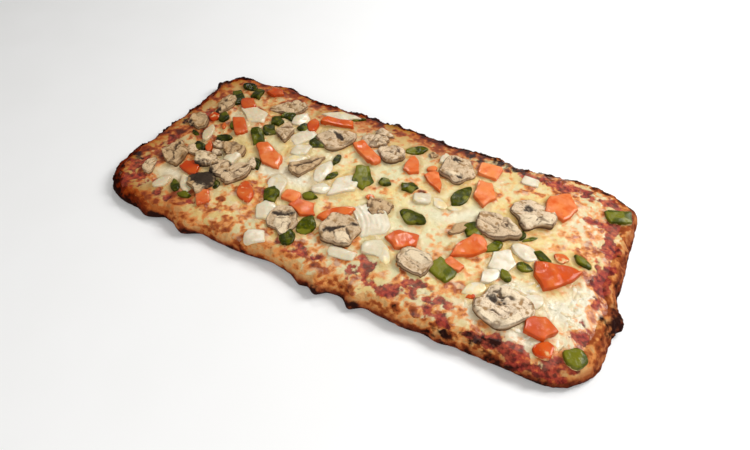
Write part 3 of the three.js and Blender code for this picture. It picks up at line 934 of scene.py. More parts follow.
SMALL_PEPPERS = [
    ("petal", -27, -56, 14, 10, 110, 0, 0.2),
    ("petal", -145, 69, 14, 9, 0, 0, 0.1),
    ("block", -134, 64, 13, 8, 100, 0, 0.3),
    ("petal", -138, 25, 12, 8, -60, 0, 0.3),
    ("chip", -122, 4, 12, 9, 30, 0, 0.2),
    ("chip", -99, 40, 13, 10, -45, 0, 0.5),
    ("block", -95, 50, 11, 9, 0, 0, 0.2),
    ("petal", -131, -12, 11, 8, -30, 0, 0.2),
    ("petal", -118, -53, 13, 6, -45, 0, 0.4),
    ("petal", -107, -57, 10, 5, 15, 0, 0.3),
    ("petal", -31, 6, 12, 5, 75, 0, 0.3),
    ("petal", -37, 23, 12, 5, 95, 0, 0.1),
    ("petal", 9, 59, 17, 9, 40, 0, 0.4),
    ("chip", 4, 17, 9, 8, 0, 0, 0.3),
    ("chip", 21, 20, 12, 10, 20, 0, 0.3),
    ("petal", -34, -19, 11, 7, 10, 0, 0.4),
    ("block", 118, 2, 13, 6, -35, 0, 0.4),
    ("petal", 110, -11, 10, 7, 0, 0, 0.4),
    ("petal", 102, -22, 10, 6, -50, 0, 0.4),
    ("petal", 140, 10, 13, 6, -30, 0, 0.5),
    ("torn", 151, -57, 13, 12, 0, 0, 0.8),
    ("petal", 101, 14, 8, 6, 90, 0, 0.3),
    ("block", -77, 43, 10, 8, 90, 0, 0.2),
    ("petal", -125, 20, 12, 6, -50, -0.4, 0.4),
    ("block", -98, 28, 13, 9, -50, -0.6, 0.3),
    ("petal", -84, -8, 14, 6, -50, -0.6, 0.1),
    ("petal", 89, -3, 13, 7, 60, -0.2, 0.7),
    ("petal", -95, -39, 9, 5, -60, -0.8, 0.1),
    ("petal", -144, -1, 7, 4, -20, -0.8, 0.2),
    ("petal", -48, 72, 16, 5, 25, -0.6, 0.2),
    ("petal", 107, 14, 12, 3, 45, -1.2, 0.8),
]
SMALL_TOMATOES = [
    ("chip", -122, 72, 14, 12, 0, 0, 0.3),
    ("block", -131, 47, 14, 11, -45, 0.6, 0.3),
    ("petal", -72, 48, 17, 9, -70, 0, 0.1),
    ("petal", -124, -10, 12, 5, -60, 0, 0.4),
    ("block", -95, -53, 13, 9, -50, -0.6, 0.6),
    ("petal", -73, -36, 22, 11, -48, -0.8, 0.2),
    ("block", -44, -25, 12, 10, 0, 0, 0.8),
    ("block", 72, -28, 12, 7, -20, 0, 0.4),
    ("torn", 135, -60, 12, 10, 50, -0.6, 0.0),
    ("torn", 128, 7, 9, 8, 0, -1.2, 0.1),
    ("petal", -145, 22, 10, 8, -60, -0.8, 0.1),
    ("petal", 27, 46, 8, 6, 40, -0.6, 0.7),
    ("petal", 2, -1, 6, 5, 20, -1.2, 0.4),
    ("petal", -131, 16, 8, 3, -60, -1.4, 0.6),
    ("petal", 89, -45, 6, 3, 45, -1.4, 0.0),
]
SMALL_MUSHROOMS = [
    ("torn", -120, -4, 10, 9, 0, 0, 0.9),
    ("torn", -148, -45, 17, 9, -60, -0.8, 0.8),
    ("torn", -133, -17, 13, 8, -35, -0.4, 0.8),
    ("petal", 64, 1, 17, 7, 62, -0.2, 0.1),
    ("torn", -20, 65, 15, 9, 0, -0.4, 0.6),
    ("torn", -116, -12, 8, 6, 0, 0.2, 0.9),
    ("torn", -86, -10, 12, 5, -50, 0.2, 0.8),
    ("torn", 22, 61, 6, 6, 0, -0.8, 0.1),
]
LARGE = {"onion": ONIONS, "pepper": PEPPERS, "tomato": TOMATOES, "mushroom": MUSHROOMS}
SMALL = {
    "onion": SMALL_ONIONS,
    "pepper": SMALL_PEPPERS,
    "tomato": SMALL_TOMATOES,
    "mushroom": SMALL_MUSHROOMS,
}
ALL_ROWS = [row for table in (LARGE, SMALL) for rows in table.values() for row in rows]
print("toppings:", len(ALL_ROWS))

# %% [markdown]
# ## The melted cheese
#
# Cheese was strewn as shreds, melted into a lumpy skin, and browned where it stood highest or lay thinnest.
# A dense flat grid with a texture would stay flat in a side view, so the lumps, strands, blisters and pits
# are heights. The grid has to follow a round-cornered outline: the surface patch between four border curves
# (a Coons patch) does that, and rings of points round its border make the cheese's ragged rounded edge.
#
# Its colour is built up as the oven did, with painted shade added: cream with warm patches, browned,
# toasted at the left and painted darker there as shade, darker round the toppings by painted contact shade
# and the brown of their juice, then sauce and char, and over them a thin veil of pale cheese. It is moist,
# but dull on dried sauce and where it is toasted.

# %% The cheese's height
# How far from a topping's edge the cheese still climbs at its side, in mm.
CLIMB_REACH = 1.5


def swept_up(x, y):
    """How far the cheese climbs at the toppings: exp(-(distance / CLIMB_REACH)²) from the nearest edge."""
    climb = np.zeros(np.shape(x))
    for _, *place, _, _ in ALL_ROWS:
        share = np.hypot(*in_halves(x, y, *place))
        away = np.maximum(share - 1, 0) * min(place[2:4]) / 2
        climb = np.maximum(climb, np.exp(-((away / CLIMB_REACH) ** 2)))
    return climb


def shreds(x, y, seed):
    """Half-melted shreds: ridges of noise stretched six times along each of three headings."""
    ridge = np.zeros(np.shape(x))
    for number, heading in enumerate((15, 75, 140)):
        along, across = turned(x, y, heading)
        ridge = np.maximum(ridge, 1 - np.abs(noise(along / 6, across, 2.2, seed + number)) * 4)
    return np.clip(ridge, 0, 1)


def cheese_fields(x, y):
    """The cheese's height over the table, and its masks, at any points."""
    masks = baking(x, y)
    near, owner = cells(x, y, 9, 23)
    blister = (owner > 0.62) * (1 - ease(near, 0.1, 0.42))
    strands = shreds(x, y, 41) * (0.3 + 0.7 * ease(masks["pale"], 0.2, 0.8))
    masks["browning"] = masks["browning"] + 0.16 * blister * ease(masks["browning"], 0.05, 0.4)
    level = cheese_level(x, y) + 0.8 * rough(x, y, 12, 3, 4) + 0.4 * blister + 0.4 * strands
    level = level + 0.3 * rough(x, y, 3, 151, 2) + 0.3 * np.clip(masks["browning"], 0, 0.8)
    # How far the cheese climbs at the toppings; the material also paints contact shade there by it.
    masks["climb_and_shade"] = swept_up(x, y)
    level = level - 0.7 * ease(masks["sauce"], 0.35, 0.7) + 0.7 * masks["climb_and_shade"]
    return level, masks


# %% The cheese's surface
# How the cheese rises from where it ends on the rim: mm inwards, share of its height.
CHEESE_EDGE = [(0.0, 0.0), (0.6, 0.16), (1.4, 0.34), (2.6, 0.55), (4.2, 0.76), (6.0, 0.92), (7.6, 0.99)]

# How deep in the crust the edge starts, how far over the bed its hidden foot lies, and how far inside the
# rim the foot and inside the edge the patch lie, in mm.
EDGE_SUNK = 0.25
FOOT_RAISED = 0.3
STEP_IN = 1.0

# The point numbers of the patch inside that edge: rows from the near side to the far one.
GRID = np.arange((SHORT_STEPS + 1) * (LONG_STEPS + 1)).reshape(SHORT_STEPS + 1, LONG_STEPS + 1)


def edge_inset():
    """How far in the cheese ends, in mm: 3.4 to 5.4 in slow swells, up to 4 more at the right end, frayed."""
    x, y = outline[:, 0], outline[:, 1]
    share = np.clip(0.42 + 0.3 * swell(CRUST_SWELLS, y, x), 0.15, 0.8)
    bare_end = 4 * ease(x, 150, 168)
    return 3.0 + 3.0 * share + bare_end + 1.1 * rough(x, y, 6, 171, 3)


def patch_between(border):
    """The Coons patch: near blended to far border, plus left to right, less the blend of the four corners."""
    ends = np.cumsum([0, SHORT_STEPS, LONG_STEPS, SHORT_STEPS, LONG_STEPS])
    closed = np.concatenate([border, border[:1]])
    right, far, left, near = (closed[ends[k] : ends[k + 1] + 1] for k in range(4))
    far, left = far[::-1], left[::-1]
    u = np.linspace(0, 1, LONG_STEPS + 1)[None, :, None]
    v = np.linspace(0, 1, SHORT_STEPS + 1)[:, None, None]
    across = (1 - v) * near[None] + v * far[None]
    along = (1 - u) * left[:, None] + u * right[:, None]
    corners = (1 - v) * ((1 - u) * near[0] + u * near[-1]) + v * ((1 - u) * far[0] + u * far[-1])
    return across + along - corners


def border_numbers():
    """The patch's border as point numbers, in the outline's own order."""
    return np.concatenate([GRID[:-1, -1], GRID[-1, :0:-1], GRID[:0:-1, 0], GRID[0, :-1]])


def grid_faces():
    """The faces of the patch, seen from above."""
    corners = [GRID[:-1, :-1], GRID[:-1, 1:], GRID[1:, 1:], GRID[1:, :-1]]
    return np.stack(corners, axis=-1).reshape(-1, 4)


def cheese_rings(start):
    """A hidden foot on the bed, and then the ragged edge in steps up to the height of the top."""
    foot = moved_in(np.full(len(outline), RIM_WIDTH + STEP_IN))
    rings = [np.column_stack([foot, np.full(len(foot), BED_HEIGHT + FOOT_RAISED)])]
    for inwards, share in CHEESE_EDGE:
        ring = moved_in(start + inwards)
        floor_level = crust_level(ring[:, 0], ring[:, 1], start + inwards) - EDGE_SUNK
        top_level, _ = cheese_fields(ring[:, 0], ring[:, 1])
        rings.append(np.column_stack([ring, floor_level + share * (top_level - floor_level)]))
    return rings


def cheese_shape():
    """The edge's rings and the patch, joined by a band of faces, and a ladder that closes the foot."""
    start = edge_inset()
    rings = cheese_rings(start)
    patch = patch_between(moved_in(start + CHEESE_EDGE[-1][0] + STEP_IN))
    patch_level, _ = cheese_fields(patch[..., 0], patch[..., 1])
    points = np.concatenate([*rings, np.dstack([patch, patch_level]).reshape(-1, 3)])
    columns = len(outline)
    top = len(rings) * columns
    border = top + border_numbers()
    last_ring = top - columns + np.arange(columns)
    joining = np.column_stack([last_ring, np.roll(last_ring, -1), np.roll(border, -1), border])
    quads = np.concatenate([band_faces(len(rings), columns), joining, top + grid_faces()])
    lowest, tallest = points[:, 2].min(), points[:, 2].max()
    print("cheese:", len(points), "points,", lowest.round(2), "to", tallest.round(2), "mm high")
    _, masks = cheese_fields(points[:, 0], points[:, 1])
    return points, quads, ladder_faces(np.arange(columns), True), masks


# %% Melted cheese
def veil_share(tree):
    """Where a thin veil of cheese lies over all else: in long patches, fewer over sauce, and none where the
    bread is bare, toasted or charred, or the cheese is pale already."""
    stretched = grain(tree, 9, 5, (1.0, 1.9, 1.0))
    over_sauce = math_node(tree, "MULTIPLY_ADD", mask(tree, "sauce"), -0.12, stretched)
    veil = between(tree, over_sauce, 0.52, 0.7, 0.0, 0.5)
    others = [mask(tree, "toasted_and_shaded"), faded(tree, "pale", 0.6), mask(tree, "char")]
    kept_off = highest(tree, mask(tree, "bare"), *others)
    return math_node(tree, "MULTIPLY", veil, between(tree, kept_off, 0.1, 0.6, 1.0, 0.0))


def cheese_material():
    """Cream, warm patches, browning, toasting, juice tint, sauce, char, veil and painted shade; moist."""
    material, tree = new_material("melted cheese")
    cream = mixed(tree, patches(tree, 22, 2, 0.35, 0.65), colour(231, 207, 138), colour(222, 214, 168))
    warm = mixed(tree, patches(tree, 5, 4, 0.54, 0.7, 0.6), cream, colour(232, 170, 84))
    pale = mixed(tree, mask(tree, "pale"), warm, colour(230, 222, 196))
    baked = oven_browned(tree, pale, 0.6, colour(98, 44, 24))
    # Toasted, and painted darker as shade, at the left end and along the far side.
    toasted_and_shaded = tinted(tree, baked, "toasted_and_shaded", 1.0, colour(182, 126, 20), "MULTIPLY")
    # Painted contact shade round the toppings, tinted brown like their juice.
    climb_and_shade = tinted(tree, toasted_and_shaded, "climb_and_shade", 0.5, colour(206, 170, 116), "MULTIPLY")
    saucy = sauced_and_charred(tree, climb_and_shade)
    base = mixed(tree, veil_share(tree), saucy, colour(230, 207, 173))
    dried_sauce = between(tree, mask(tree, "sauce"), 0.3, 0.7, 0.0, 0.75)
    dull = highest(tree, damp(tree, 0.11, 0.42, 0.54), dried_sauce, faded(tree, "toasted_and_shaded", 0.85))
    skin = math_node(tree, "ADD", grain(tree, 0.9, 3), grain(tree, 2.6, 3))
    surface(tree, base, dull, skin, 0.3, Specular_IOR_Level=0.29)
    return material


cheese = make_piece("cheese_melted", cheese_shape(), cheese_material())
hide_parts("cheese")

# %% [markdown]
# ## Half-melted shreds
#
# At the right end, where the cheese stayed pale, some shreds never melted flat: they lie on the skin as
# soft, bent strands that taper at both ends. Raised lines in the skin's grid would be too coarse for them.
# So each is a tube: a low oval, carried along a bent path that follows the cheese's height. They are strewn
# by chance round the pale spots there and joined into one piece.

# %% One strand, and all of them
STRAND_STEPS = 16
STRAND_SIDES = 8
STRAND_LENGTHS = (5, 11)
STRAND_WIDTHS = (1.6, 3.2)

# Strands lie round the pale spots right of the first place, and start no further right than the last.
STRANDS_FROM = 100
STRANDS_TO = 146
STRANDS_PER_SQUARE_MM = 0.04

# No strand lies where sauce or browning is stronger than this.
STRANDS_CLEAR_OF = 0.3


def closed_rows(points, tips, masks, flip=False):
    """A shape of rows that close on themselves, with a fan to a tip at each end. Rows that run the other way
    round are flipped, so that all faces look outwards. A mask is one number, or one for each row or point,
    and each tip gets the mean of its row."""
    rows, sides = points.shape[:2]
    ring = np.arange(sides)
    quads = band_faces(rows, sides)
    first = fan_faces(ring, rows * sides)[:, ::-1]
    triangles = np.concatenate([first, fan_faces((rows - 1) * sides + ring, rows * sides + 1)])
    if flip:
        quads, triangles = quads[:, ::-1], triangles[:, ::-1]
    masks = {name: np.broadcast_to(values, (rows, sides)) for name, values in masks.items()}
    masks = {name: np.append(values, values[[0, -1]].mean(axis=1)) for name, values in masks.items()}
    return np.concatenate([points.reshape(-1, 3), tips]), quads, triangles, masks


def strand(x, y, length, width, turn, bend):
    """A low oval of width * sin(π * share)^0.4 along a path that turns by bend, its foot in the cheese."""
    share = np.linspace(0.03, 0.97, STRAND_STEPS)
    heading = turn + bend * (share - 0.5)
    path_x = x + np.cumsum(np.cos(heading)) * length / STRAND_STEPS
    path_y = y + np.cumsum(np.sin(heading)) * length / STRAND_STEPS
    radius = width / 2 * np.sin(np.pi * share) ** 0.4
    angle = np.linspace(0, 2 * math.pi, STRAND_SIDES, endpoint=False)
    across, upwards = radius[:, None] * np.cos(angle), 0.3 * radius[:, None] * np.sin(angle)
    level = cheese_fields(path_x, path_y)[0][:, None] + upwards - 0.15
    side_x, side_y = -np.sin(heading)[:, None] * across, np.cos(heading)[:, None] * across
    points = np.stack([path_x[:, None] + side_x, path_y[:, None] + side_y, level], axis=-1)
    return closed_rows(points, points[[0, -1]].mean(axis=1), {}, flip=True)


def joined(parts):
    """Several shapes as one: their arrays end to end, with each one's point numbers moved on."""
    starts = np.concatenate([[0], np.cumsum([len(part[0]) for part in parts])[:-1]])
    points = np.concatenate([part[0] for part in parts])
    quads, triangles = (
        np.concatenate([part[k] + start for part, start in zip(parts, starts)]) for k in (1, 2)
    )
    masks = {name: np.concatenate([part[3][name] for part in parts]) for name in parts[0][3]}
    return points, quads, triangles, masks


def strewn_strands():
    """For each pale spot at the right, strands by its size and strength, each placed, bent and turned by
    chance, and left out where sauce or browning shows at one of its ends."""
    draw = np.random.default_rng(11)
    parts = []
    for spot_x, spot_y, length, width, _, strength in PALE_SPOTS:
        if spot_x <= STRANDS_FROM:
            continue
        for _ in range(round(STRANDS_PER_SQUARE_MM * length * width * strength)):
            x = min(spot_x + LAYOUT_X + draw.uniform(-0.5, 0.5) * length, STRANDS_TO)
            y = spot_y + LAYOUT_Y + draw.uniform(-0.5, 0.5) * width
            size = draw.uniform(*STRAND_LENGTHS), draw.uniform(*STRAND_WIDTHS)
            turn, bend = draw.normal(0.6, 0.7), draw.normal(0, 0.8)
            ends = np.array([0, size[0]])
            there = baking(x + ends * math.cos(turn), y + ends * math.sin(turn))
            if max(there["sauce"].max(), there["browning"].max()) < STRANDS_CLEAR_OF:
                parts.append(strand(x, y, *size, turn, bend))
    print("strands:", len(parts))
    return joined(parts)


def strand_material():
    """Pale cheese that lets a little light in."""
    material, tree = new_material("half-melted shreds")
    base = mixed(tree, patches(tree, 5, 3, 0.4, 0.6), colour(226, 202, 160), colour(236, 224, 202))
    fixed = {"Subsurface_Weight": 0.2, "Subsurface_Scale": 0.002}
    surface(tree, base, damp(tree, 0.25, 0.5, 0.4), grain(tree, 1, 3), 0.15, **fixed)
    return material


make_piece("cheese_shreds", strewn_strands(), strand_material())

# %% [markdown]
# ## Forms of the toppings
#
# A cut piece of vegetable is a low slab: an outline round its middle, and rings of points from its hidden
# foot, up the side and over the top to one point. The eight outlines are those of the solids: petal, block,
# chip, kite, wedge, torn, cap and slice. On top, each kind has its own relief, worked out from the place on
# the slab: folds, gills and cracks in a mushroom, layers in an onion, dents in pepper and ridges in tomato.

# %% Outlines of the forms
# How far each kind stands over the cheese in mm, and how ragged its outline is.
KINDS = {
    "onion": {"height": 2.0, "ragged": 0.02},
    "pepper": {"height": 2.8, "ragged": 0.04},
    "tomato": {"height": 3.2, "ragged": 0.012},
    "mushroom": {"height": 3.4, "ragged": 0.11},
}

# How deep in the cheese a slab's foot lies, in mm.
SINK = 1.2

# How far a slab leans, as rise over run, and the height in mm that no topping passes, with the mm over which
# it is eased off below that.
TILT = 0.05
HIGHEST = 16.4
SOFTENING = 0.4

# Closer to the bread's edge than this, in mm, a slab droops by this share of what's missing.
DROOP_MARGIN = 5
DROOP = 0.8

# The slab's side: share of its reach, and of the way from its foot to its crown.
SLAB_SIDE = [(0.5, 0), (0.95, 0), (0.985, 0.2), (1.0, 0.45), (0.995, 0.75), (0.975, 0.92), (0.95, 0.985)]

# The reach of the top's first ring, just inside the side's last one. The others shrink to the middle.
TOP_REACH = 0.94


def cornered(angle, corners, sharpness=0.85):
    """Between a circle and the edge of a polygon: cos(half a side) / cos(angle from the side's middle)."""
    side = 2 * math.pi / corners
    straight = math.cos(side / 2) / np.cos(angle % side - side / 2)
    return 1 - sharpness + sharpness * straight


def power(value, exponent):
    """A power of the value's size that keeps its sign."""
    return np.sign(value) * np.abs(value) ** exponent


def form_outline(form, angle):
    """The outline at an angle, about one unit from its middle."""
    cos, sin = np.cos(angle), np.sin(angle)
    if form == "petal":
        return cos, sin * np.abs(sin) ** 0.35
    if form == "block":
        return power(cos, 0.4), power(sin, 0.4)
    if form == "chip":
        return cos * cornered(angle, 5) * 1.08, sin * cornered(angle, 5) * 1.05
    if form == "kite":
        return cos * cornered(angle, 4), sin * cornered(angle, 4)
    if form == "wedge":
        return (cos * cornered(angle, 3, 0.6) - 0.13) * 1.12, sin * cornered(angle, 3, 0.6) * 1.05
    if form == "torn":
        return cos * (1 + 0.12 * sin), sin * (1 - 0.18 * cos * cos)
    if form == "cap":
        return cos, np.where(sin > 0, sin, sin * 0.4)
    return cos * (1 - 0.42 * ease(-sin, 0.25, 0.7)), sin


# %% The slab that all toppings share
def slab(row, kind, sides, top_rings):
    """Rings from the foot in the cheese to the crown, which is the cheese's height and the kind's. The kind's
    relief gives a height in mm and masks for each point of the top. Heights close to the highest are eased
    down below it: highest - k * log(1 + exp((highest - height) / k)). The outline is frayed by noise, but
    slices and caps less so, and pieces that reach over the rim droop with it."""
    form, row_x, row_y, length, width, turn, extra, tone = row
    x, y = row_x + LAYOUT_X, row_y + LAYOUT_Y
    angle = np.linspace(0, 2 * math.pi, sides, endpoint=False)
    u, v = form_outline(form, angle)
    seed = (row_x * 3 + row_y * 7) % 97
    ragged = KINDS[kind]["ragged"] * (1 if form in ("slice", "cap") else 2)
    frayed = ragged * rough(np.cos(angle) * 1.4 + seed, np.sin(angle) * 1.4, 1, 5, 3)
    reach = 1 + 0.05 * np.sin(3 * angle + x) + 0.035 * np.sin(5 * angle + y) + frayed
    over = [(TOP_REACH * (1 - (k / top_rings) ** 1.15), 1) for k in range(top_rings)]
    scale, share = (np.array(column)[:, None] for column in zip(*SLAB_SIDE, *over))
    a, b = scale * reach * u * length / 2, scale * reach * v * width / 2
    askew = TILT * (a * math.sin(x + 1) + b * math.sin(y + 2))
    crown = cheese_level(x, y) + KINDS[kind]["height"] + extra + askew
    from_x, from_y = turned(a, b, -turn)
    plan_x, plan_y = x + from_x, y + from_y
    lift, masks = RELIEFS[kind](a, b, plan_x, plan_y, scale, row, seed)
    foot = cheese_level(plan_x, plan_y) - SINK
    level = foot + share * (crown - foot) + lift * ease(share, 0.5, 1)
    level = HIGHEST - SOFTENING * np.logaddexp(0, (HIGHEST - level) / SOFTENING)
    level = level - DROOP * np.maximum(DROOP_MARGIN - depth_inside(plan_x, plan_y), 0)
    masks |= {"lift": share, "tone": tone, "baked_in": ease(-extra, 0.2, 0.8)}
    # Every topping goes browner and darker to the left: partly baking, partly painted shade.
    masks["toasted_and_shaded"] = towards_left(plan_x)
    points = np.stack([plan_x, plan_y, level], axis=-1)
    tips = np.array([[x, y, foot[0].mean()], points[-1].mean(axis=0)])
    return closed_rows(points, tips, masks)


# %% Gills, stems and cracks of the mushrooms
# Each row: x, y, length, width, turn in degrees, strength.
GILL_SPOTS = [
    (-108, -37, 23, 14, -30, 2.4),
    (-48, 45.5, 9, 4, -20, 1.5),
    (-46, 43, 5, 4, 30, 1.1),
    (40, 62, 7, 5, 0, 1.4),
    (47, 45, 8, 3, 20, 0.9),
    (-38, -41, 14, 5, 32, 1.1),
    (-43, -44, 5, 4, 32, 0.8),
    (-1, -36.5, 20, 2.2, 42, 1.1),
    (-6, -40.5, 8, 5, 42, 1.1),
    (8, -29, 6, 3, 60, 0.7),
    (99, 36, 9, 5, 20, 0.95),
    (97, 39, 5, 3, 0, 0.9),
    (104, -43, 9, 8, 0, 0.8),
    (100, -41, 5, 5, 0, 0.9),
    (-148, 29, 6, 5, 0, 1.3),
    (-107, -3, 16, 8, -10, 0.5),
    (-95, -28, 6, 3, 0, 1.0),
    (-112, -31, 6, 3, 0, 1.0),
    (-153, 5, 16, 3.5, -35, 1.0),
    (-86, 22, 9, 4, -60, 0.6),
    (-90, 34, 8, 3, 30, 0.7),
]
STEM_SPOTS = [
    (-102, -48, 10, 8, -60, 1.0),
    (-54, 47, 9, 5, -20, 1.0),
    (-36, -48, 9, 9, 32, 1.1),
    (-33, -54, 6, 7, 32, 1.0),
    (4, -42, 9, 7, 42, 1.1),
    (9, -47, 8, 4, 42, 0.8),
    (102, 27, 12, 8, 10, 1.0),
    (113, 29, 9, 10, 0, 0.9),
    (110, -33, 16, 10, 20, 1.0),
    (96, -33, 13, 8, 25, 1.2),
    (103, -56, 26, 6, -8, 1.1),
    (117, -51, 12, 7, 40, 0.9),
    (94, 16, 9, 6, -60, 1.0),
    (51, -35, 18, 9, 0, 1.0),
    (-120, -23, 14, 10, 0, 0.8),
    (43, 46, 14, 7, 20, 0.6),
]
# Cracks lie sunken, and the mushroom's material paints shade in them.
CRACK_SPOTS = [
    (-143, -22, 15, 2.4, -60, 1.2),
    (-138, -31, 13, 2.2, -40, 1.1),
    (-147, -29, 9, 2, 20, 1.0),
    (-88, -20, 14, 2.4, 80, 1.2),
    (-85, -28, 9, 2, 60, 1.0),
    (-50, 11, 16, 2.4, 62, 1.1),
    (-55, 3, 12, 2.2, 50, 1.1),
    (-148, 41, 16, 2.2, -78, 1.0),
    (-7, 45, 10, 1.8, 30, 0.9),
    (-1, 49, 8, 1.8, -40, 0.8),
    (90, 17, 2, 10, 10, 1.0),
    (87, 13, 12, 1.8, -15, 0.6),
    (96, 24, 9, 1.8, -35, 1.0),
    (107, 30, 2, 9, -20, 1.0),
    (109, -38, 16, 2, 15, 1.0),
    (96, -39, 16, 2, 20, 1.2),
    (104, -51, 22, 1.8, -8, 0.9),
    (103, -35, 2, 8, 20, 0.9),
    (46, -38, 14, 1.2, -25, 0.9),
    (52, -42, 17, 1.3, -10, 0.9),
    (55, -34, 12, 1.1, -5, 0.9),
    (-31, -48, 8, 1.8, 120, 0.9),
    (-1, -43, 9, 2, 128, 1.2),
    (6.5, -38, 10, 2, 132, 1.2),
    (2, -41, 7, 1.2, 130, 0.8),
    (-105, -25, 12, 2, 20, 0.9),
    (-118, -25, 10, 1.8, -15, 0.8),
    (12, -5, 2, 12, 20, 0.7),
    (-24, 52, 14, 1.6, 5, 0.5),
]


# %% Relief of each kind
# All take the same values: the place on the slab from its middle, the place on the bread, the ring's share of
# the outline, the topping's row and its seed.
def onion_relief(a, b, x, y, scale, row, seed):
    """Curved layers: sin of the distance from a bent middle line, on a sheet with one soft crease."""
    length, width = row[3:5]
    across = b * 2 / width + 0.35 * (a * 2 / length) ** 2
    arcs = np.sin(across * width * 0.95 + seed + 0.8 * noise(a, b, 7, 9))
    layered = 0.12 + 0.88 * (width > 19)
    fold = np.abs(across - 0.3 * math.sin(seed))
    lift = 0.25 - 0.4 * fold**1.2 + 0.12 * layered * arcs + 0.4 * rough(a + seed, b, 9, 7, 2)
    return lift - 0.35 * scale**8, {"rib": layered * (0.5 + 0.5 * arcs), "edge": ease(scale, 0.86, 0.99)}


def pepper_relief(a, b, x, y, scale, row, seed):
    """A skin with dents, its edges rolled down, turned so that its pale inner side shows in places."""
    dent = rough(a + seed, b, 8, 17, 2)
    lift = -0.7 * scale**5 + 0.9 * dent + 0.15 * rough(a, b + seed, 2.2, 27, 2)
    inner = ease(rough(a - seed, b + seed, 7, 29, 2) + (row[7] - 0.5) * 0.7, 0.12, 0.32)
    return lift, {"edge": ease(scale, 0.84, 0.99), "inner": inner}


def tomato_relief(a, b, x, y, scale, row, seed):
    """Wet flesh: a flat cut face with a soft ridge or two across it."""
    ridge = np.sin(a * 0.4 + 1.8 * noise(a + seed, b, 7, 37) + seed)
    lift = -0.5 * scale**8 + 0.12 * ridge + 0.4 * rough(a, b + seed, 10, 47, 2)
    return lift, {"edge": ease(scale, 0.86, 0.99), "streak": 0.5 + 0.5 * ridge}


def mushroom_relief(a, b, x, y, scale, row, seed):
    """Dried flesh: soft folds and fine wrinkles, most on torn pieces, which are crumpled; a curled rim; and
    sunken gills, raised stems and cracks at their named places, all bent by noise."""
    bent_x, bent_y = x + 1.6 * rough(x, y, 4, 51, 3), y + 1.6 * rough(x, y, 4, 53, 3)
    folds = np.abs(noise(bent_x * 0.6 + seed, bent_y, 4, 67))
    crease = (1 - ease(folds, 0.01, 0.12)) * ease(rough(x, y, 6, 77, 2), -0.3, 0.15)
    crumpled = {"torn": 1.0, "wedge": 1.0, "block": 0.6}.get(row[0], 0.3)
    valley = np.abs(noise(bent_x + seed, bent_y - seed, 6.5, 57))
    crease = np.maximum(crease, crumpled * 0.9 * (1 - ease(valley, 0.0, 0.16)))
    wrinkle = rough(x, y, 2.6, 87, 3)
    near_gill = spots(bent_x, bent_y, GILL_SPOTS)
    gill = ease(near_gill + 0.7 * rough(x, y, 1.8, 91, 3) * ease(near_gill, 0, 0.5), 0.2, 1.2)
    stem = ease(spots(bent_x, bent_y, STEM_SPOTS), 0.3, 0.6)
    crack = ease(spots(bent_x, bent_y, CRACK_SPOTS) + 0.6 * rough(x, y, 3, 95, 2), 0.6, 1.1)
    crack = np.maximum(crack, 0.6 * stem * (1 - stem) * 4 * ease(rough(x, y, 4, 93, 2), 0.0, 0.3))
    lift = 1.3 * rough(a + seed, b, 9, 97, 2) + 0.26 * wrinkle - 0.3 * crease - 0.6 * crack - 0.5 * gill
    lift = lift + 1.3 * crumpled * (np.minimum(valley, 0.6) - 0.4)
    curl = 1.5 * ease(scale, 0.5, 0.92) * rough(x, y, 8, 103, 2)
    rim = ease(scale, 0.91, 0.965) * ease(rough(x, y, 6, 99, 2), -0.5, 0.0)
    # The wrinkle, crease and crack masks carry painted shade into the hollows of the relief.
    masks = {"gill": gill, "stem": stem, "crack": crack, "rim": rim, "crease": crease}
    return lift + 0.6 * stem + curl - 0.6 * scale**7, masks | {"wrinkle": 0.5 + wrinkle}


RELIEFS = {
    "onion": onion_relief,
    "pepper": pepper_relief,
    "tomato": tomato_relief,
    "mushroom": mushroom_relief,
}


# %% [markdown]
# ## Finishes of the toppings
#
# Cooked onion is off-white and lets a little light in. Green pepper keeps a waxy skin over dull olive flesh.
# Tomato is wet orange-red, with watery patches where it is pale. Mushroom is dry, beige on its cut face,
# brown at its skin and nearly black in its gills, with painted shade in its wrinkles, creases and cracks and
# low on its side. Each material mixes its colours by the masks of its relief, all go browner and darker to
# the left, partly from baking and partly as painted shade, and the melted film covers the foot of onion,
# pepper and tomato.

# %% Onion, pepper, tomato and mushroom
FILM_COLOUR = colour(230, 206, 146)


def filmed(tree, base, share):
    """The colour under a film of melted cheese, which covers more of a piece that is baked in deeper."""
    share = math_node(tree, "MULTIPLY_ADD", mask(tree, "baked_in"), 0.22, share)
    film = placed(tree, FILM, {"Lift": mask(tree, "lift"), "Share": share})
    return mixed(tree, math_node(tree, "MULTIPLY", film, 0.85), base, FILM_COLOUR)


def onion_material():
    """Cloudy flesh with paler ribs and a faint yellow edge."""
    material, tree = new_material("cooked onion")
    flesh = mixed(tree, mask(tree, "tone"), colour(200, 188, 150), colour(238, 228, 208))
    cloudy = mixed(tree, patches(tree, 7, 2, 0.35, 0.65), flesh, colour(216, 202, 172))
    ribbed = tinted(tree, cloudy, "rib", 0.3, colour(236, 224, 202))
    faint = tinted(tree, ribbed, "edge", 0.2, colour(178, 162, 108))
    # Browner and darker to the left: partly baking, partly painted shade.
    toasted_and_shaded = tinted(tree, faint, "toasted_and_shaded", 0.6, colour(226, 206, 170), "MULTIPLY")
    base = filmed(tree, toasted_and_shaded, 0.38)
    fixed = {"Specular_IOR_Level": 0.45, "Subsurface_Weight": 0.25, "Subsurface_Scale": 0.002}
    surface(tree, base, damp(tree, 0.18, 0.4, 0.5), grain(tree, 1.6, 2), 0.12, **fixed)
    return material


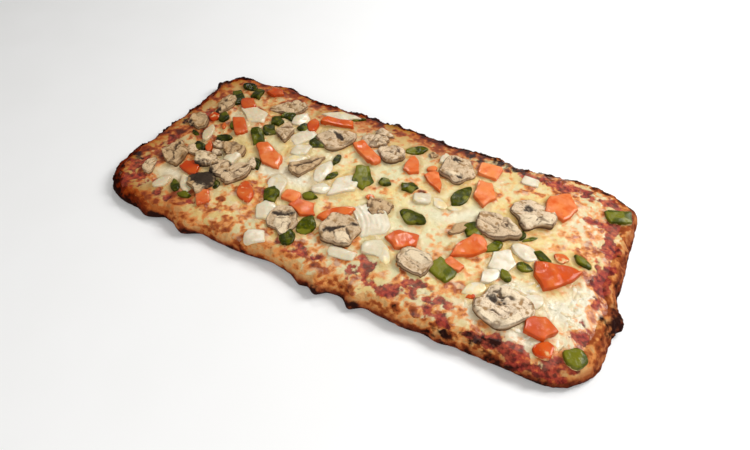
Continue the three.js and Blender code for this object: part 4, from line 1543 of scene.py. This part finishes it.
def pepper_material():
    """Skin from deep to olive green, paler where the inner side turns up, dark at the rolled edge."""
    material, tree = new_material("green pepper")
    skin = mixed(tree, mask(tree, "tone"), colour(24, 28, 0), colour(76, 83, 0))
    varied = mixed(tree, patches(tree, 3, 4, 0.4, 0.66, 0.6), skin, colour(98, 99, 0))
    turned_up = tinted(tree, varied, "inner", 0.5, colour(140, 136, 40))
    rolled = tinted(tree, turned_up, "edge", 0.3, colour(34, 40, 0))
    # Browner and darker to the left: partly baking, partly painted shade.
    toasted_and_shaded = tinted(tree, rolled, "toasted_and_shaded", 0.85, colour(158, 160, 50), "MULTIPLY")
    base = filmed(tree, toasted_and_shaded, 0.14)
    surface(tree, base, damp(tree, 0.1, 0.34, 0.5), grain(tree, 1.2, 4), 0.22, Specular_IOR_Level=0.16)
    return material


def tomato_material():
    """Streaked flesh, watery in patches where it's pale, redder in others and round its edge."""
    material, tree = new_material("baked tomato")
    flesh = mixed(tree, mask(tree, "tone"), colour(188, 56, 6), colour(240, 146, 88))
    streaked = tinted(tree, flesh, "streak", 0.4, colour(236, 132, 54))
    how_pale = between(tree, mask(tree, "tone"), 0.0, 0.5)
    watery = math_node(tree, "MULTIPLY", patches(tree, 9, 2, 0.54, 0.72), how_pale)
    salmon = mixed(tree, watery, streaked, colour(236, 138, 84))
    varied = mixed(tree, patches(tree, 6, 2, 0.42, 0.75, 0.8), salmon, colour(214, 80, 14))
    rounded = tinted(tree, varied, "edge", 0.45, colour(184, 64, 8))
    # Browner and darker to the left: partly baking, partly painted shade.
    toasted_and_shaded = tinted(tree, rounded, "toasted_and_shaded", 0.85, colour(206, 156, 84), "MULTIPLY")
    base = filmed(tree, toasted_and_shaded, 0.2)
    surface(tree, base, damp(tree, 0.07, 0.4, 0.6), grain(tree, 1.5, 3), 0.12, Specular_IOR_Level=0.25)
    return material


def mushroom_material():
    """Beige flesh, darker sides, painted shade in its hollows and at its foot, and brown skin round its rim.
    """
    material, tree = new_material("dried mushroom")
    flesh = mixed(tree, mask(tree, "tone"), colour(190, 156, 112), colour(238, 217, 188))
    speckled = mixed(tree, patches(tree, 0.9, 4, 0.5, 0.75), flesh, colour(176, 142, 102))
    # Painted shade where the fine wrinkles' relief is lowest.
    shaded_wrinkles = mixed(tree, between(tree, mask(tree, "wrinkle"), -0.1, 0.5), colour(162, 127, 86), speckled)
    pale = tinted(tree, shaded_wrinkles, "stem", 0.5, colour(242, 224, 190))
    # Painted shade along the creases.
    shaded_creases = tinted(tree, pale, "crease", 0.75, colour(96, 68, 44))
    lift = mask(tree, "lift")
    side = mixed(tree, between(tree, lift, 0.55, 0.95), colour(158, 126, 90), shaded_creases)
    # Painted shade low down the side, where it meets the cheese.
    foot = mixed(tree, between(tree, lift, 0.3, 0.85), colour(78, 54, 36), side)
    skin = math_node(tree, "MULTIPLY", faded(tree, "rim", 0.8), between(tree, lift, 0.7, 0.97))
    rimmed = mixed(tree, skin, foot, colour(84, 57, 36))
    gilled = tinted(tree, rimmed, "gill", 0.95, colour(38, 29, 26))
    # Painted shade in the cracks and along the stems' borders.
    shaded_cracks = tinted(tree, gilled, "crack", 0.85, colour(58, 38, 26))
    # Browner and darker to the left: partly baking, partly painted shade.
    base = tinted(tree, shaded_cracks, "toasted_and_shaded", 0.8, colour(230, 218, 196), "MULTIPLY")
    surface(tree, base, damp(tree, 0.5, 0.8, 0.3), grain(tree, 0.8, 4), 0.35, Specular_IOR_Level=0.15)
    return material


MATERIALS = {
    "onion": onion_material(),
    "pepper": pepper_material(),
    "tomato": tomato_material(),
    "mushroom": mushroom_material(),
}

# %% Large toppings, one piece for each solid
# Points round a piece and rings over its top: many for the wrinkled mushrooms, fewer for the others.
FINE = (120, 32)
PLAIN = (60, 15)
SMALL_PLAIN = (60, 10)

faces_made = 0
for kind, rows in LARGE.items():
    for number, row in enumerate(rows, 1):
        shape = slab(row, kind, *(FINE if kind == "mushroom" else PLAIN))
        node = f"{kind}_{number:02d}"
        piece = make_piece(f"{node}_baked", shape, MATERIALS[kind])
        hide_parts(node)
        faces_made += len(shape[1]) + len(shape[2])
print("large toppings:", sum(map(len, LARGE.values())), "pieces,", faces_made, "faces")

# %% Small toppings, one joined piece for each kind
for kind, rows in SMALL.items():
    shape = joined([slab(row, kind, *SMALL_PLAIN) for row in rows])
    make_piece(f"small_{kind}_pieces", shape, MATERIALS[kind])
    print("small", kind, "pieces:", len(rows))

# %% [markdown]
# ## Floor, light and camera
#
# The bread lies on a plain pale floor under soft light: a window-like lamp behind it on the right, two small
# lamps behind it that put glints on what is wet, a broad and weaker one in front on the right like a bright
# room, and a faint sky. The camera stands where the photographer's did: its place comes from fitting a
# pinhole camera to the outline of the bread.

# %% Floor and light
FLOOR_SIZE = 6
FLOOR_DROP = 0.0002
SKY_STRENGTH = 0.25

# Each lamp: name, place and target in metres, side in metres, power in watts.
LAMPS = [
    ("window", (0.5, 0.5, 0.66), (0.05, 0, 0), 0.42, 7.3),
    ("glint", (-0.38, 0.75, 0.85), (0, 0, 0), 0.15, 2.0),
    ("second_glint", (0.02, 0.75, 0.85), (0.05, 0, 0), 0.08, 0.45),
    ("room", (0.3, -0.8, 0.7), (0.05, 0, 0), 0.8, 5.6),
]


def floor_material():
    """Almost white, a little uneven and dull."""
    material, tree = new_material("pale floor")
    shade = mixed(tree, grain(tree, 60, 2), colour(243, 243, 242), colour(247, 247, 247))
    dull = between(tree, grain(tree, 40, 2), 0.3, 0.7, 0.62, 0.72)
    surface(tree, shade, dull, grain(tree, 2, 2), 0.02)
    return material


bpy.ops.mesh.primitive_plane_add(size=FLOOR_SIZE, location=(0, 0, -FLOOR_DROP))
floor = bpy.context.object
floor.name = "floor"
floor.data.materials.append(floor_material())


def soft_lamp(name, place, target, size, power):
    """A square lamp at a place in metres, turned towards its target."""
    lamp = bpy.data.lights.new(name, "AREA")
    lamp.shape = "SQUARE"
    lamp.size = size
    lamp.energy = power
    holder = bpy.data.objects.new(name, lamp)
    bpy.context.scene.collection.objects.link(holder)
    holder.location = place
    direction = np.array(target, float) - np.array(place, float)
    azimuth = math.atan2(direction[1], direction[0])
    tilt = math.acos(-direction[2] / np.linalg.norm(direction))
    holder.rotation_euler = (tilt, 0, azimuth - math.pi / 2)


for row in LAMPS:
    soft_lamp(*row)
world = bpy.data.worlds.new("soft sky")
world.use_nodes = True
sky = world.node_tree.nodes["Background"].inputs
sky["Color"].default_value = colour(252, 250, 246)
sky["Strength"].default_value = SKY_STRENGTH
bpy.context.scene.world = world
bpy.context.scene.view_settings.view_transform = "Standard"

# %% Camera
# Angles in degrees, distance and target in metres. The focal length is the fitted one, in pixels of the
# photograph, which is 750 of them wide.
AZIMUTH = 25.433
ELEVATION = 46.575
DISTANCE = 0.35865
ROLL = 2.184
TARGET = (0.01477, -0.0165, 0)
FOCAL_PIXELS = 541
PICTURE_WIDTH = 750
SENSOR_WIDTH = 36
NEAREST_SEEN = 0.01


def add_camera():
    """A camera that looks back along (sin a cos e, -cos a cos e, sin e), rolled about its own axis."""
    azimuth, elevation, roll = (math.radians(v) for v in (AZIMUTH, ELEVATION, ROLL))
    back = np.array([
        math.sin(azimuth) * math.cos(elevation),
        -math.cos(azimuth) * math.cos(elevation),
        math.sin(elevation),
    ])
    right = np.array([math.cos(azimuth), math.sin(azimuth), 0])
    up = np.cross(back, right)
    turned_right = math.cos(roll) * right + math.sin(roll) * up
    turned_up = math.cos(roll) * up - math.sin(roll) * right
    data = bpy.data.cameras.new("camera")
    data.sensor_width = SENSOR_WIDTH
    data.lens = FOCAL_PIXELS / PICTURE_WIDTH * SENSOR_WIDTH
    data.clip_start = NEAREST_SEEN
    camera = bpy.data.objects.new("camera", data)
    bpy.context.scene.collection.objects.link(camera)
    place = np.array(TARGET) + back * DISTANCE
    axes = np.column_stack([turned_right, turned_up, back, place])
    camera.matrix_world = Matrix([*axes.tolist(), [0, 0, 0, 1]])
    bpy.context.scene.camera = camera


add_camera()
